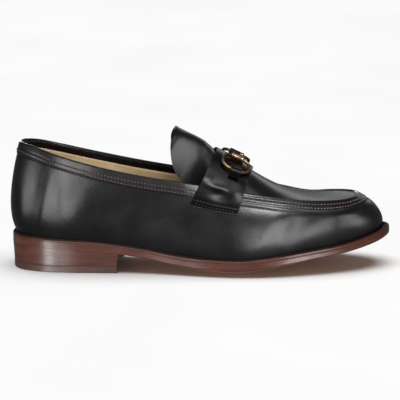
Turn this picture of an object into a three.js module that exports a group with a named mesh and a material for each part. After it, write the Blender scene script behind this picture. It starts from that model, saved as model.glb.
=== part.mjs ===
// A right loafer with a saddle strap and a snaffle bit.
// Millimetres. The toe points along +X, the wearer's left (medial) side is +Y and +Z is up.
import * as THREE from 'three';
import { mergeVertices } from 'three/addons/utils/BufferGeometryUtils.js';

// Driving sizes
const length = 300;
const ballWidth = 104;
const backHeight = 100;
const clearance = 0.3;

// The strap's rear edge is a percentage of the length. Its sweeps are how far its corners lie behind
// the middle of each edge, and its lows are shares of the wall's height.
const wall = { thickness: 1.8, plugDrop: 1.1, plugThickness: 1.6, plugGap: 0.4 };
const collarBand = { width: 10.2, raise: 0.7, behindStrap: 13, fade: 12 };
const sole = { welt: 2.8, weltTuck: 0.2, flatPower: 2.5, insole: 5.2, insoleGap: 0.7 };
const heel = { lift: 5.5, lateralBreast: 85.8, medialBreast: 90.5, hollow: 5, inset: 0.3, taper: 1.1 };
const strap = { rear: 54.33, width: 28, thickness: 1.5, gap: 0.45, overlap: 5 };
const strapEnd = { rearSweep: 20.8, frontSweep: 12, power: 1.4, rearLow: 0.69, frontLow: 0.63 };

// The bit's places are measured on the strap, from its rear edge and from its ridge
const bit = { width: 22, height: 17, squareness: 3, wire: 1.2, lift: 1.9, fromRear: 16, fromRidge: 14.8 };
const sleeve = { length: 10, hole: 1.75, radius: 2.3, offset: 0.12 };
const bar = { length: 11, radius: 1.25, lift: 2, fromRidge: -2.5 };
const tab = { width: 8.2, thickness: 1.3, span: 11, rise: 6.4, fromRear: 17.6, fromRidge: 23.6 };
const keeper = { width: 8.7, thickness: 1.3, span: 5, rise: 4.6, fromRear: 12.3, fromRidge: 3.1 };

// Steps of the solids
const around = 80;
const wallSteps = 7;
const soleSteps = 32;
const soleAcross = 12;
const heelSteps = 8;
const plugSteps = 15;
const archSteps = 12;
const strapSteps = 6;
const strapAcross = 24;
const ringSteps = 36;
const wireSteps = 8;
const sleeveSteps = 14;

// Sections of the sole, heel back to toe tip. x is a percentage of the length,
// widths of the ball width and heights of the back height.
// Columns: x, lateral and medial foot line, lateral and medial rim, welt top, edge depth, sag across.
const soleColumns = ['x', 'footLat', 'footMed', 'rimLat', 'rimMed', 'weltTop', 'edge', 'sag'];
const soleRows = [
  [1.6, 0.0, 0.0, 2.6, 2.6, 28.8, 8.3, 0.0],
  [3.7, 16.8, 16.8, 2.6, 2.6, 28.5, 8.3, 0.0],
  [8.0, 24.3, 24.3, 2.3, 2.3, 27.9, 8.3, 0.0],
  [15.0, 28.7, 28.4, 2.1, 2.1, 26.9, 8.3, 0.0],
  [25.0, 30.6, 28.4, 2.1, 2.0, 24.9, 8.3, 0.0],
  [35.0, 32.9, 26.5, 2.2, 2.0, 20.8, 8.0, 2.0],
  [45.0, 38.0, 30.8, 3.2, 2.6, 16.0, 8.4, 4.5],
  [53.3, 42.8, 38.0, 4.3, 3.4, 14.3, 8.8, 6.5],
  [61.7, 45.0, 43.8, 4.9, 4.3, 14.2, 8.7, 6.7],
  [70.7, 42.3, 45.2, 5.1, 4.9, 17.2, 8.3, 6.0],
  [80.0, 34.4, 40.4, 5.4, 5.3, 20.6, 7.4, 4.0],
  [87.3, 26.0, 34.6, 5.6, 5.6, 23.2, 7.3, 2.2],
  [93.0, 16.3, 27.4, 5.7, 5.7, 26.4, 7.3, 1.0],
  [96.8, 5.0, 17.8, 5.7, 5.7, 29.1, 7.3, 0.3],
  [98.0, -6.7, 6.7, 5.7, 5.7, 30.2, 7.3, 0.0],
];

// Sections of the upper, on the same stations. Each side is a curve with two handles: the belly
// leaves the foot line outward and up, the shoulder comes in to the top edge.
// Columns: belly out (lateral, medial), belly up, shoulder out, shoulder drop, top edge x,
// its lateral and medial widths, its height, the height of the ridge between the edges, and how
// much lower the medial top edge lies.
const wallColumns = ['bellyLat', 'bellyMed', 'bellyUp', 'shoulder', 'drop',
  'topX', 'topLat', 'topMed', 'topZ', 'ridge', 'medialDip'];
const wallRows = [
  [8.5, 8.5, 14.5, 6.5, 22, 2.9, 0.0, 0.0, 99.8, 120.0, 0],
  [8.2, 8.2, 15.0, 7.0, 22, 3.8, 8.4, 8.4, 99.7, 120.0, 0],
  [7.0, 7.0, 16.0, 7.5, 23, 6.8, 16.1, 16.1, 98.1, 120.0, 0],
  [5.8, 6.2, 16.0, 6.5, 22, 12.2, 24.3, 24.3, 93.4, 120.0, 0],
  [4.8, 6.0, 16.0, 4.0, 18, 21.8, 30.2, 30.2, 85.9, 120.0, 0],
  [3.6, 8.0, 15.0, 3.0, 16, 32.8, 31.7, 31.7, 78.9, 119.0, 0],
  [3.0, 6.0, 15.0, 6.5, 14, 43.7, 30.8, 31.0, 73.3, 109.0, 0],
  [2.8, 4.0, 15.0, 9.0, 14, 52.7, 30.2, 30.8, 68.6, 93.3, 0],
  [2.8, 3.2, 14.0, 11.5, 10, 61.3, 29.8, 30.4, 64.2, 79.3, 0],
  [3.0, 3.2, 13.0, 11.0, 5.5, 70.3, 30.5, 30.0, 60.2, 63.9, 1.4],
  [3.2, 3.2, 11.5, 9.5, 4.0, 78.7, 28.6, 26.4, 57.6, 56.5, 3],
  [3.2, 3.2, 10.5, 10.0, 4.0, 84.7, 23.8, 23.6, 56.9, 55.4, 1.3],
  [3.0, 3.0, 9.5, 11.5, 4.0, 88.5, 15.6, 18.5, 56.7, 55.1, 0.2],
  [3.0, 3.0, 9.0, 13.0, 4.2, 90.6, 6.0, 11.6, 57.0, 55.5, 0],
  [3.0, 3.0, 8.5, 13.5, 4.2, 91.2, -2.9, 2.9, 57.4, 56.2, 0],
];

// Sections of the free tongue, from under the strap to its tip, in percentages as above.
// Columns: ridge x, ridge height, edge x, half width of the edge, edge height.
const tongueColumns = ['ridgeX', 'ridgeZ', 'edgeX', 'half', 'edgeZ'];
const tongueRows = [
  [51.2, 97.2, 49.5, 27.6, 67.6],
  [49.7, 100.2, 47.0, 27.0, 68.4],
  [48.3, 102.9, 45.2, 26.9, 72.0],
  [47.0, 105.2, 43.7, 26.8, 78.5],
  [45.9, 107.2, 42.7, 25.6, 86.0],
  [45.0, 108.7, 42.3, 22.8, 93.5],
  [44.3, 109.9, 42.3, 17.6, 101.0],
  [43.9, 110.7, 42.9, 10.0, 107.0],
  [43.7, 111.0, 43.5, 2.9, 110.4],
];

const percent = { x: length / 100, y: ballWidth / 100, z: backHeight / 100 };
const lateralKeys = { foot: 'footLat', rim: 'rimLat', belly: 'bellyLat', topY: 'topLat' };
const medialKeys = { foot: 'footMed', rim: 'rimMed', belly: 'bellyMed', topY: 'topMed' };

// One row of a table as an object with its columns' names
function named(columns, row) {
  return Object.fromEntries(columns.map((name, i) => [name, row[i]]));
}

const stations = soleRows.map((row, i) => {
  const wallRow = named(wallColumns, wallRows[i]);
  return { ...named(soleColumns, row), ...wallRow };
});
const lastStation = stations.length - 1;

// One side of a station in millimetres. The sign is -1 on the lateral side and +1 on the medial side.
function sideOf(station, sign) {
  const keys = sign < 0 ? lateralKeys : medialKeys;
  return {
    x: station.x * percent.x,
    y: sign * station[keys.foot] * percent.y,
    rim: station[keys.rim],
    belly: station[keys.belly],
    bellyUp: station.bellyUp,
    shoulder: station.shoulder,
    drop: station.drop,
    topX: station.topX * percent.x,
    topY: sign * station[keys.topY] * percent.y,
    topZ: (station.topZ - (sign > 0 ? station.medialDip : 0)) * percent.z,
    ridge: station.ridge * percent.z,
  };
}

// The loop of sections: heel back, lateral side, toe tip, then back along the medial side
const lateralLoop = stations.map((station) => sideOf(station, -1));
const medialStations = stations.slice(1, lastStation).reverse();
const medialLoop = medialStations.map((station) => sideOf(station, 1));
const loop = [...lateralLoop, ...medialLoop];

// Places of the sections on the loop, the same on both sides, from the mean step of the two sides
function loopPlaces() {
  const steps = [];
  for (let i = 1; i <= lastStation; i += 1) {
    const [a, b] = [stations[i - 1], stations[i]];
    const along = (b.x - a.x) * percent.x;
    const lateral = Math.hypot(along, (b.footLat - a.footLat) * percent.y);
    const medial = Math.hypot(along, (b.footMed - a.footMed) * percent.y);
    steps.push((lateral + medial) / 2);
  }
  const half = steps.reduce((sum, step) => sum + step, 0);
  const places = [0];
  steps.forEach((step) => places.push(places[places.length - 1] + step / (2 * half)));
  const mirrored = places.slice(1, lastStation).reverse().map((place) => 1 - place);
  return [...places, ...mirrored];
}

const places = loopPlaces();

// Smooth value of one column at a place on the loop
function smooth(key, place) {
  const count = loop.length;
  const wrapped = place - Math.floor(place);
  let k = count - 1;
  while (places[k] > wrapped) k -= 1;
  const index = (i) => (i + count) % count;
  const where = (i) => places[index(i)] + Math.floor(i / count);
  const value = (i) => loop[index(i)][key];
  const rate = (i) => (value(i + 1) - value(i)) / (where(i + 1) - where(i));
  const slope = (i) => {
    const before = where(i) - where(i - 1);
    const after = where(i + 1) - where(i);
    return (before * rate(i) + after * rate(i - 1)) / (before + after);
  };
  const gap = where(k + 1) - where(k);
  const t = (wrapped - where(k)) / gap;
  const t2 = t * t;
  const t3 = t2 * t;
  return (2 * t3 - 3 * t2 + 1) * value(k) + (t3 - 2 * t2 + t) * gap * slope(k)
    + (3 * t2 - 2 * t3) * value(k + 1) + (t3 - t2) * gap * slope(k + 1);
}

// Outward direction of the foot line in plan
function outward(place) {
  const step = 0.002;
  const dx = smooth('x', place + step) - smooth('x', place - step);
  const dy = smooth('y', place + step) - smooth('y', place - step);
  const size = Math.hypot(dx, dy);
  return new THREE.Vector3(dy / size, -dx / size, 0);
}

// A point on the foot line moved out in plan, at a height of its own
function besideFoot(place, out, z) {
  const foot = new THREE.Vector3(smooth('x', place), smooth('y', place), z);
  return foot.addScaledVector(outward(place), out);
}

// Smooth value of a column that both sides share, by x, going on straight past the end stations
function alongX(key, x) {
  const at = (i) => stations[i].x * percent.x;
  const value = (i) => stations[i][key];
  const rate = (i) => (value(i + 1) - value(i)) / (at(i + 1) - at(i));
  const slope = (i) => {
    if (i === 0) return rate(0);
    if (i === lastStation) return rate(lastStation - 1);
    const before = at(i) - at(i - 1);
    const after = at(i + 1) - at(i);
    return (before * rate(i) + after * rate(i - 1)) / (before + after);
  };
  if (x <= at(0)) return value(0) + slope(0) * (x - at(0));
  if (x >= at(lastStation)) return value(lastStation) + slope(lastStation) * (x - at(lastStation));
  let k = lastStation - 1;
  while (at(k) > x) k -= 1;
  const gap = at(k + 1) - at(k);
  const t = (x - at(k)) / gap;
  const t2 = t * t;
  const t3 = t2 * t;
  return (2 * t3 - 3 * t2 + 1) * value(k) + (t3 - 2 * t2 + t) * gap * slope(k)
    + (3 * t2 - 2 * t3) * value(k + 1) + (t3 - t2) * gap * slope(k + 1);
}

function weltTop(x) {
  return alongX('weltTop', x) * percent.z;
}

function rimAt(place) {
  return smooth('rim', place);
}

// The upper's outer side without the collar band: a cubic curve from the foot line to the top edge
function plainWall(place, up) {
  const out = outward(place);
  const foot = besideFoot(place, 0, 0);
  foot.z = weltTop(foot.x) + clearance;
  const top = new THREE.Vector3(smooth('topX', place), smooth('topY', place), smooth('topZ', place));
  const belly = foot.clone().addScaledVector(out, smooth('belly', place));
  belly.z += smooth('bellyUp', place);
  const shoulder = top.clone().addScaledVector(out, smooth('shoulder', place));
  shoulder.z -= smooth('drop', place);
  return new THREE.CubicBezierCurve3(foot, belly, shoulder, top).getPoint(up);
}

// Directions on the wall: up along it, and its outward normal
function wallDirections(place, up) {
  const step = 0.002;
  const low = Math.max(0, up - step);
  const high = Math.min(1, up + step);
  const rise = plainWall(place, high).sub(plainWall(place, low)).normalize();
  const along = plainWall(place + step, up).sub(plainWall(place - step, up)).normalize();
  return { rise, normal: along.cross(rise).normalize() };
}

// A point on the wall moved out along its normal. At the foot line it moves level.
function wallPoint(place, up, out) {
  const { normal } = wallDirections(place, up);
  if (up === 0) normal.setZ(0).normalize();
  return plainWall(place, up).addScaledVector(normal, out);
}

const strapRear = strap.rear * percent.x;

// How far the collar band stands proud at a place, fading out towards the strap
function bandRaise(place) {
  const beyond = (strapRear - collarBand.behindStrap - smooth('topX', place)) / collarBand.fade;
  return collarBand.raise * THREE.MathUtils.clamp(beyond, 0, 1);
}

// Share of the wall's height where the collar band starts
function bandStart(place) {
  const height = plainWall(place, 1).distanceTo(plainWall(place, 0.8)) / 0.2;
  return 1 - collarBand.width / height;
}

// Triangles of a quad, by corner numbers
function quad(faces, a, b, c, d) {
  faces.push(a, b, c, a, c, d);
}

// A closed geometry from points and faces, with shared corners merged and empty faces dropped
function solidFrom(points, faces) {
  const geometry = new THREE.BufferGeometry();
  const numbers = points.flatMap((p) => [p.x, p.y, p.z]);
  geometry.setAttribute('position', new THREE.Float32BufferAttribute(numbers, 3));
  geometry.setIndex(faces);
  const merged = mergeVertices(geometry, 1e-3);
  const corners = Array.from(merged.index.array);
  const kept = [];
  for (let i = 0; i < corners.length; i += 3) {
    const [a, b, c] = corners.slice(i, i + 3);
    if (a !== b && b !== c && c !== a) kept.push(a, b, c);
  }
  merged.setIndex(kept);
  merged.computeVertexNormals();
  return merged;
}

// A solid that runs round the shoe: one closed outline of points per place on the loop
function loopSolid(outlineAt, steps) {
  const points = [];
  const faces = [];
  for (let i = 0; i < steps; i += 1) points.push(...outlineAt(i / steps));
  const size = points.length / steps;
  for (let i = 0; i < steps; i += 1) {
    const next = (i + 1) % steps;
    for (let j = 0; j < size; j += 1) {
      const k = (j + 1) % size;
      quad(faces, i * size + j, next * size + j, next * size + k, i * size + k);
    }
  }
  return solidFrom(points, faces);
}

// A sheet from rows of top and bottom points, closed round its border
function sheetSolid(top, bottom) {
  const rows = top.length;
  const width = top[0].length;
  const points = [...top.flat(), ...bottom.flat()];
  const below = rows * width;
  const faces = [];
  for (let i = 0; i < rows - 1; i += 1) {
    for (let j = 0; j < width - 1; j += 1) {
      const a = i * width + j;
      const b = a + width;
      quad(faces, a, b, b + 1, a + 1);
      quad(faces, below + a, below + a + 1, below + b + 1, below + b);
    }
    const [first, last] = [i * width, i * width + width - 1];
    quad(faces, first, below + first, below + first + width, first + width);
    quad(faces, last, last + width, below + last + width, below + last);
  }
  for (let j = 0; j < width - 1; j += 1) {
    const end = (rows - 1) * width + j;
    quad(faces, j, j + 1, below + j + 1, below + j);
    quad(faces, end, below + end, below + end + 1, end + 1);
  }
  return solidFrom(points, faces);
}

// Places of a station on both sides, for a share of the way from the heel back to the toe tip
function pair(share) {
  return { lateral: share / 2, medial: 1 - share / 2 };
}

// Shares that crowd together at both round ends
function roundedShares(steps, first, last) {
  const shares = [];
  for (let i = 0; i <= steps; i += 1) {
    shares.push(first + (last - first) * (1 - Math.cos((Math.PI * i) / steps)) / 2);
  }
  return shares;
}

// Share of the way along where a column of x reaches a given x
function shareAt(key, x) {
  let low = 0;
  let high = 1;
  for (let i = 0; i < 30; i += 1) {
    const middle = (low + high) / 2;
    if (smooth(key, middle / 2) < x) low = middle;
    else high = middle;
  }
  return (low + high) / 2;
}

// Where a point in plan lies on the sole: its x and its place across, -1 to 1
function soleSpot(x, y) {
  const share = shareAt('x', x);
  const { lateral, medial } = pair(share);
  const left = besideFoot(lateral, rimAt(lateral), 0).y;
  const right = besideFoot(medial, rimAt(medial), 0).y;
  const across = THREE.MathUtils.clamp((2 * y - left - right) / (right - left + 1e-6), -1, 1);
  return { x, across };
}

// Depth of the sole's hollow across, zero at its edges
function sagAt({ x, across }) {
  return Math.max(0, alongX('sag', x)) * (1 - Math.abs(across) ** sole.flatPower);
}

function outsoleTop(spot) {
  return weltTop(spot.x) - sole.welt - clearance - sagAt(spot);
}

function outsoleBottom(spot) {
  return Math.max(0, weltTop(spot.x) - alongX('edge', spot.x) - sagAt(spot));
}

// A row of points across the sole between its two edges, out millimetres outside the foot line
function rowAcross(share, out, heightAt) {
  const { lateral, medial } = pair(share);
  const left = besideFoot(lateral, out(lateral), 0);
  const right = besideFoot(medial, out(medial), 0);
  const row = [];
  for (let j = 0; j <= soleAcross; j += 1) {
    const across = Math.sin((Math.PI / 2) * (-1 + (2 * j) / soleAcross));
    const point = left.clone().lerp(right, (across + 1) / 2);
    point.z = heightAt(soleSpot(point.x, point.y));
    row.push(point);
  }
  return row;
}

function outsole() {
  const shares = roundedShares(soleSteps, 0, 1);
  const surface = (heightAt) => shares.map((share) => rowAcross(share, rimAt, heightAt));
  return sheetSolid(surface(outsoleTop), surface(outsoleBottom));
}

function welt() {
  const corner = (place, out, below) => {
    const point = besideFoot(place, out, 0);
    point.z = weltTop(point.x) - below;
    return point;
  };
  const inner = -(wall.thickness + sole.weltTuck);
  return loopSolid((place) => [
    corner(place, rimAt(place), sole.welt),
    corner(place, rimAt(place), 0),
    corner(place, inner, 0),
    corner(place, inner, sole.welt),
  ], around);
}

function insole() {
  const shares = roundedShares(soleSteps, 0, 1);
  const out = () => -(wall.thickness + sole.insoleGap);
  const bottomAt = (spot) => outsoleTop(spot) + clearance;
  const topAt = (spot) => bottomAt(spot) + sole.insole;
  const surface = (heightAt) => shares.map((share) => rowAcross(share, out, heightAt));
  return sheetSolid(surface(topAt), surface(bottomAt));
}

// One layer of the heel, from its round back to its hollow breast, inset from the sole's edge
function heelLayer(topAt, bottomAt, insetTop, insetBottom) {
  const layer = (inset, heightAt) => {
    const grid = [];
    for (let i = 0; i <= heelSteps; i += 1) {
      const row = [];
      for (let j = 0; j <= heelSteps; j += 1) {
        const across = Math.sin((Math.PI / 2) * (-1 + (2 * j) / heelSteps));
        const corner = THREE.MathUtils.lerp(heel.lateralBreast, heel.medialBreast, (across + 1) / 2);
        const breast = shareAt('x', corner - heel.hollow * (1 - across * across) - inset);
        const share = breast * (1 - Math.cos((Math.PI / 2) * (i / heelSteps)));
        const { lateral, medial } = pair(share);
        const left = besideFoot(lateral, rimAt(lateral) - inset, 0);
        const right = besideFoot(medial, rimAt(medial) - inset, 0);
        const point = left.lerp(right, (across + 1) / 2);
        point.z = heightAt(soleSpot(point.x, point.y));
        row.push(point);
      }
      grid.push(row);
    }
    return grid;
  };
  return sheetSolid(layer(insetTop, topAt), layer(insetBottom, bottomAt));
}

function heelStack() {
  const top = (spot) => outsoleBottom(spot) - clearance;
  return heelLayer(top, () => heel.lift + clearance, heel.inset, heel.taper);
}

function heelTopLift() {
  return heelLayer(() => heel.lift, () => 0, heel.taper, heel.taper);
}

// The upper: one wall round the shoe, open at the collar, at the apron and underneath
function upper() {
  return loopSolid((place) => {
    const start = bandStart(place);
    const raise = bandRaise(place);
    const outer = [];
    const inner = [];
    for (let j = 0; j <= wallSteps; j += 1) {
      const up = (start * j) / wallSteps;
      outer.push(wallPoint(place, up, 0));
      inner.push(wallPoint(place, up, -wall.thickness));
    }
    outer.push(wallPoint(place, start + 0.01, raise));
    outer.push(wallPoint(place, (start + 1) / 2, raise));
    outer.push(wallPoint(place, 1, raise));
    inner.push(wallPoint(place, (start + 1) / 2, -wall.thickness));
    inner.push(wallPoint(place, 1, -wall.thickness));
    return [...outer, ...inner.reverse()];
  }, around);
}

// The plug's edge lies inside the wall's top edge, a step below it
function plugEdge(place, depth) {
  const { rise, normal } = wallDirections(place, 1);
  return plainWall(place, 1).addScaledVector(rise, wall.plugGap).addScaledVector(normal, -depth);
}

// A section across the plug, depth millimetres below the wall's edge: its two edges and its ridge
function plugSection(share, depth) {
  const { lateral, medial } = pair(share);
  const left = plugEdge(lateral, depth);
  const right = plugEdge(medial, depth);
  const ridge = left.clone().add(right).multiplyScalar(0.5);
  if (share < 1) ridge.z = smooth('ridge', lateral) - (depth - wall.plugDrop);
  return { left, right, ridge };
}

// A section across the free tongue, depth millimetres inside its outer side
function tongueSection(row, depth) {
  const { ridgeX, ridgeZ, edgeX, half, edgeZ } = named(tongueColumns, row);
  const [x, y, z] = [edgeX * percent.x, Math.max(0.4, half * percent.y - depth), edgeZ * percent.z];
  const lean = new THREE.Vector3(0.45, 0, 0.9);
  return {
    left: new THREE.Vector3(x, -y, z),
    right: new THREE.Vector3(x, y, z),
    ridge: new THREE.Vector3(ridgeX * percent.x, 0, ridgeZ * percent.z).addScaledVector(lean, -depth),
  };
}

const archPower = 2.2;

// A point on the arch of a section, across from -1 at the lateral edge to +1 at the medial edge
function archPoint(section, across) {
  const point = section.left.clone().lerp(section.right, (across + 1) / 2);
  const rise = section.ridge.clone().sub(section.left.clone().add(section.right).multiplyScalar(0.5));
  return point.addScaledVector(rise, 1 - Math.abs(across) ** archPower);
}

const throatShare = shareAt('topX', strapRear - strap.overlap);

// The rows of arched sections from the tongue's tip to the plug's toe end, closer at the toe
function apronGrid(plugDepth, tongueDepth) {
  const sections = [];
  const crowding = 1.7;
  for (let i = 0; i <= plugSteps; i += 1) {
    const back = (i / plugSteps) ** crowding;
    sections.push(plugSection(1 - (1 - throatShare) * back, plugDepth));
  }
  tongueRows.forEach((row) => sections.push(tongueSection(row, tongueDepth)));
  return sections.reverse().map((section) => {
    const row = [];
    for (let j = 0; j <= archSteps; j += 1) row.push(archPoint(section, -1 + (2 * j) / archSteps));
    return row;
  });
}

function apronTongue() {
  const under = apronGrid(wall.plugDrop + wall.plugThickness, wall.plugThickness);
  return sheetSolid(apronGrid(wall.plugDrop, 0), under);
}

// A grid of points moved along its normals
function offsetGrid(grid, distance) {
  const clampedRow = (i) => grid[THREE.MathUtils.clamp(i, 0, grid.length - 1)];
  const clampedAt = (row, j) => row[THREE.MathUtils.clamp(j, 0, row.length - 1)];
  return grid.map((row, i) => row.map((point, j) => {
    const along = clampedAt(clampedRow(i + 1), j).clone().sub(clampedAt(clampedRow(i - 1), j));
    const across = clampedAt(row, j + 1).clone().sub(clampedAt(row, j - 1));
    const normal = along.cross(across);
    if (normal.length() < 1e-6) normal.set(0, 0, 1);
    return point.clone().addScaledVector(normal.normalize(), distance);
  }));
}

// A smooth curve over the instep between two heights on the walls, low being their share
function instepCurve(share, low) {
  const { lateral, medial } = pair(share);
  const section = plugSection(share, wall.plugDrop);
  const ups = [low, (low + 1) / 2, 1];
  const points = ups.map((up) => wallPoint(lateral, up, 0));
  [-0.6, -0.3, 0, 0.3, 0.6].forEach((across) => {
    const point = archPoint(section, across);
    const lean = new THREE.Vector3(0, across, 1).normalize();
    points.push(point.addScaledVector(lean, wall.plugDrop));
  });
  ups.reverse().forEach((up) => points.push(wallPoint(medial, up, 0)));
  return new THREE.CatmullRomCurve3(points, false, 'centripetal');
}

// The curve under the strap: along from its rear edge to its front edge, side from -1 to 1
function strapCurve(along, side) {
  const sweep = Math.abs(side) ** strapEnd.power;
  const rear = strapRear - strapEnd.rearSweep * sweep;
  const front = strapRear + strap.width - strapEnd.frontSweep * sweep;
  const share = shareAt('topX', THREE.MathUtils.lerp(rear, front, along));
  return instepCurve(share, THREE.MathUtils.lerp(strapEnd.rearLow, strapEnd.frontLow, along));
}

function strapPoint(along, side) {
  return strapCurve(along, side).getPointAt((side + 1) / 2);
}

function saddleStrap() {
  const grid = [];
  for (let i = 0; i <= strapSteps; i += 1) {
    const row = [];
    for (let j = 0; j <= strapAcross; j += 1) {
      row.push(strapPoint(i / strapSteps, -1 + (2 * j) / strapAcross));
    }
    grid.push(row);
  }
  return sheetSolid(offsetGrid(grid, strap.gap + strap.thickness), offsetGrid(grid, strap.gap));
}

// A frame on the strap's outer face: x towards the toe, y towards the medial side, z outward
function strapFrame(fromRear, fromRidge, lift) {
  const along = fromRear / strap.width;
  const side = fromRidge / (strapCurve(along, 0).getLength() / 2);
  const step = 0.01;
  const x = strapPoint(along + step, side).sub(strapPoint(along - step, side)).normalize();
  const y = strapPoint(along, side + step).sub(strapPoint(along, side - step)).normalize();
  const z = x.clone().cross(y).normalize();
  y.crossVectors(z, x);
  const origin = strapPoint(along, side).addScaledVector(z, strap.gap + strap.thickness + lift);
  return new THREE.Matrix4().makeBasis(x, y, z).setPosition(origin);
}

// The rounded oblong that the ring's wire follows, in its own plane
function ringPath(turn) {
  const angle = 2 * Math.PI * turn;
  const power = 2 / bit.squareness;
  const signed = (value) => Math.sign(value) * Math.abs(value) ** power;
  const x = (bit.width / 2) * signed(Math.cos(angle));
  return new THREE.Vector3(x, (bit.height / 2) * signed(Math.sin(angle)), 0);
}

function bitRing(sign) {
  const frame = strapFrame(bit.fromRear, sign * bit.fromRidge, bit.lift);
  const up = new THREE.Vector3(0, 0, 1);
  return loopSolid((turn) => {
    const centre = ringPath(turn);
    const out = ringPath(turn + 0.004).sub(ringPath(turn - 0.004)).cross(up).normalize();
    const circle = [];
    for (let k = 0; k < wireSteps; k += 1) {
      const angle = (2 * Math.PI * k) / wireSteps;
      const point = centre.clone().addScaledVector(out, bit.wire * Math.cos(angle));
      circle.push(point.addScaledVector(up, bit.wire * Math.sin(angle)).applyMatrix4(frame));
    }
    return circle;
  }, ringSteps);
}

// The sleeve round the ring's straight side, which lies nearest the ridge
function bitSleeve(sign) {
  const frame = strapFrame(bit.fromRear, sign * bit.fromRidge, bit.lift);
  const axis = -sign * (bit.height / 2 - sleeve.offset);
  return loopSolid((turn) => {
    const angle = 2 * Math.PI * turn;
    const corner = (x, radius) => {
      const point = new THREE.Vector3(x, axis + radius * Math.cos(angle), radius * Math.sin(angle));
      return point.applyMatrix4(frame);
    };
    return [
      corner(-sleeve.length / 2, sleeve.radius),
      corner(sleeve.length / 2, sleeve.radius),
      corner(sleeve.length / 2, sleeve.hole),
      corner(-sleeve.length / 2, sleeve.hole),
    ];
  }, sleeveSteps);
}

// A geometry made of three's own shapes, with its shared corners merged
function merged(geometry) {
  geometry.deleteAttribute('normal');
  geometry.deleteAttribute('uv');
  return mergeVertices(geometry, 1e-3);
}

// The bar between the two sleeves, over the ridge
function bitBar() {
  const frame = strapFrame(bit.fromRear, bar.fromRidge, bar.lift);
  const cylinder = new THREE.CylinderGeometry(bar.radius, bar.radius, bar.length, 12);
  return merged(cylinder.rotateZ(-Math.PI / 2).applyMatrix4(frame));
}

// A leather band bent over what it holds: half an oval ring, as wide as the band
function leatherArch(size, sign) {
  const [rx, ry] = [size.span / 2, size.rise];
  const shape = new THREE.Shape();
  shape.absellipse(0, 0, rx, ry, 0, Math.PI, false);
  shape.absellipse(0, 0, rx - size.thickness, ry - size.thickness, Math.PI, 0, true);
  const options = { depth: size.width, bevelEnabled: false, curveSegments: 10 };
  const band = new THREE.ExtrudeGeometry(shape, options);
  const turn = new THREE.Matrix4().makeBasis(
    new THREE.Vector3(0, 1, 0),
    new THREE.Vector3(0, 0, 1),
    new THREE.Vector3(1, 0, 0),
  ).setPosition(-size.width / 2, 0, 0);
  const frame = strapFrame(size.fromRear, sign * size.fromRidge, clearance);
  return merged(band.applyMatrix4(turn).applyMatrix4(frame));
}

const leather = { color: 0x241f1e, roughness: 0.35, metalness: 0 };
const soleLeather = { color: 0x6a3b2e, roughness: 0.45, metalness: 0 };
const rubber = { color: 0x3a2621, roughness: 0.7, metalness: 0 };
const brass = { color: 0x9a6a3c, roughness: 0.3, metalness: 1 };
const lining = { color: 0xbe9669, roughness: 0.6, metalness: 0 };

function piece(name, geometry, look) {
  const mesh = new THREE.Mesh(geometry, new THREE.MeshStandardMaterial(look));
  mesh.name = name;
  return mesh;
}

const shoe = new THREE.Group();
shoe.add(piece('outsole', outsole(), soleLeather));
shoe.add(piece('welt', welt(), soleLeather));
shoe.add(piece('heel_stack', heelStack(), soleLeather));
shoe.add(piece('heel_top_lift', heelTopLift(), rubber));
shoe.add(piece('upper', upper(), leather));
shoe.add(piece('apron_tongue', apronTongue(), leather));
shoe.add(piece('insole', insole(), lining));
shoe.add(piece('saddle_strap', saddleStrap(), leather));

shoe.add(piece('bit_ring_lateral', bitRing(-1), brass));
shoe.add(piece('bit_ring_medial', bitRing(1), brass));
shoe.add(piece('bit_sleeve_lateral', bitSleeve(-1), brass));
shoe.add(piece('bit_sleeve_medial', bitSleeve(1), brass));
shoe.add(piece('bit_bar', bitBar(), brass));
shoe.add(piece('bit_tab_lateral', leatherArch(tab, -1), leather));
shoe.add(piece('bit_tab_medial', leatherArch(tab, 1), leather));
shoe.add(piece('bit_keeper', leatherArch(keeper, 1), leather));

const bounds = new THREE.Box3().setFromObject(shoe);
const middle = bounds.getCenter(new THREE.Vector3());
shoe.position.set(-middle.x, -middle.y, -bounds.min.z);

export default shoe;
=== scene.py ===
# %% [markdown]
# A right loafer with a saddle strap and a snaffle bit, dressed in leather and antique brass.
# The imported CAD model is the fixed frame: it says where every piece is. Blender adds what a solid
# leaves out, such as folded edges, stitches, creases, grain and gloss. The first step is always
# to load the frame, because the dressed shoe has to stay the same size.

# %% Load the frame
import math

import bpy
import numpy as np
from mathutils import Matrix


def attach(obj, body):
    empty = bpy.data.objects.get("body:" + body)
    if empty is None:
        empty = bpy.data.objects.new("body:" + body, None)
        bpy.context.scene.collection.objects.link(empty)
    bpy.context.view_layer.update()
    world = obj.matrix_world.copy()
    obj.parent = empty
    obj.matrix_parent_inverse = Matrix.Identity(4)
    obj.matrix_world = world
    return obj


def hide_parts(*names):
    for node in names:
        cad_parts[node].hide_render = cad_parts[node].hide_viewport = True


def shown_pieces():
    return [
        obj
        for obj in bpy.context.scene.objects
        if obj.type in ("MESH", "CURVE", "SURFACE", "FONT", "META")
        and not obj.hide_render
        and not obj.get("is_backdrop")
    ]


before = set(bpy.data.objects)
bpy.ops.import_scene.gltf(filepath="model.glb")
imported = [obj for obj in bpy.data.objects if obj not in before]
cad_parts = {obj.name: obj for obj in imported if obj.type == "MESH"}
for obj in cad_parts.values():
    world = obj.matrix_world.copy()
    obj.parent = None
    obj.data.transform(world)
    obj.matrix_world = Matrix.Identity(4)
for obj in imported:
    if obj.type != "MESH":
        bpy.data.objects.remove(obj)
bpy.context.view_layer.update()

print("frame nodes:", len(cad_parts))

# %% [markdown]
# A shoe is made on a last, and every part of it takes its shape from that last. The last here is
# two tables of sections, from the heel back to the toe tip, in percentages of three sizes. A
# sculpted mesh could look the same, but with the tables each seam, stitch and fold can be placed
# by a share of the way round the shoe and a share of the height of its wall.

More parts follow.
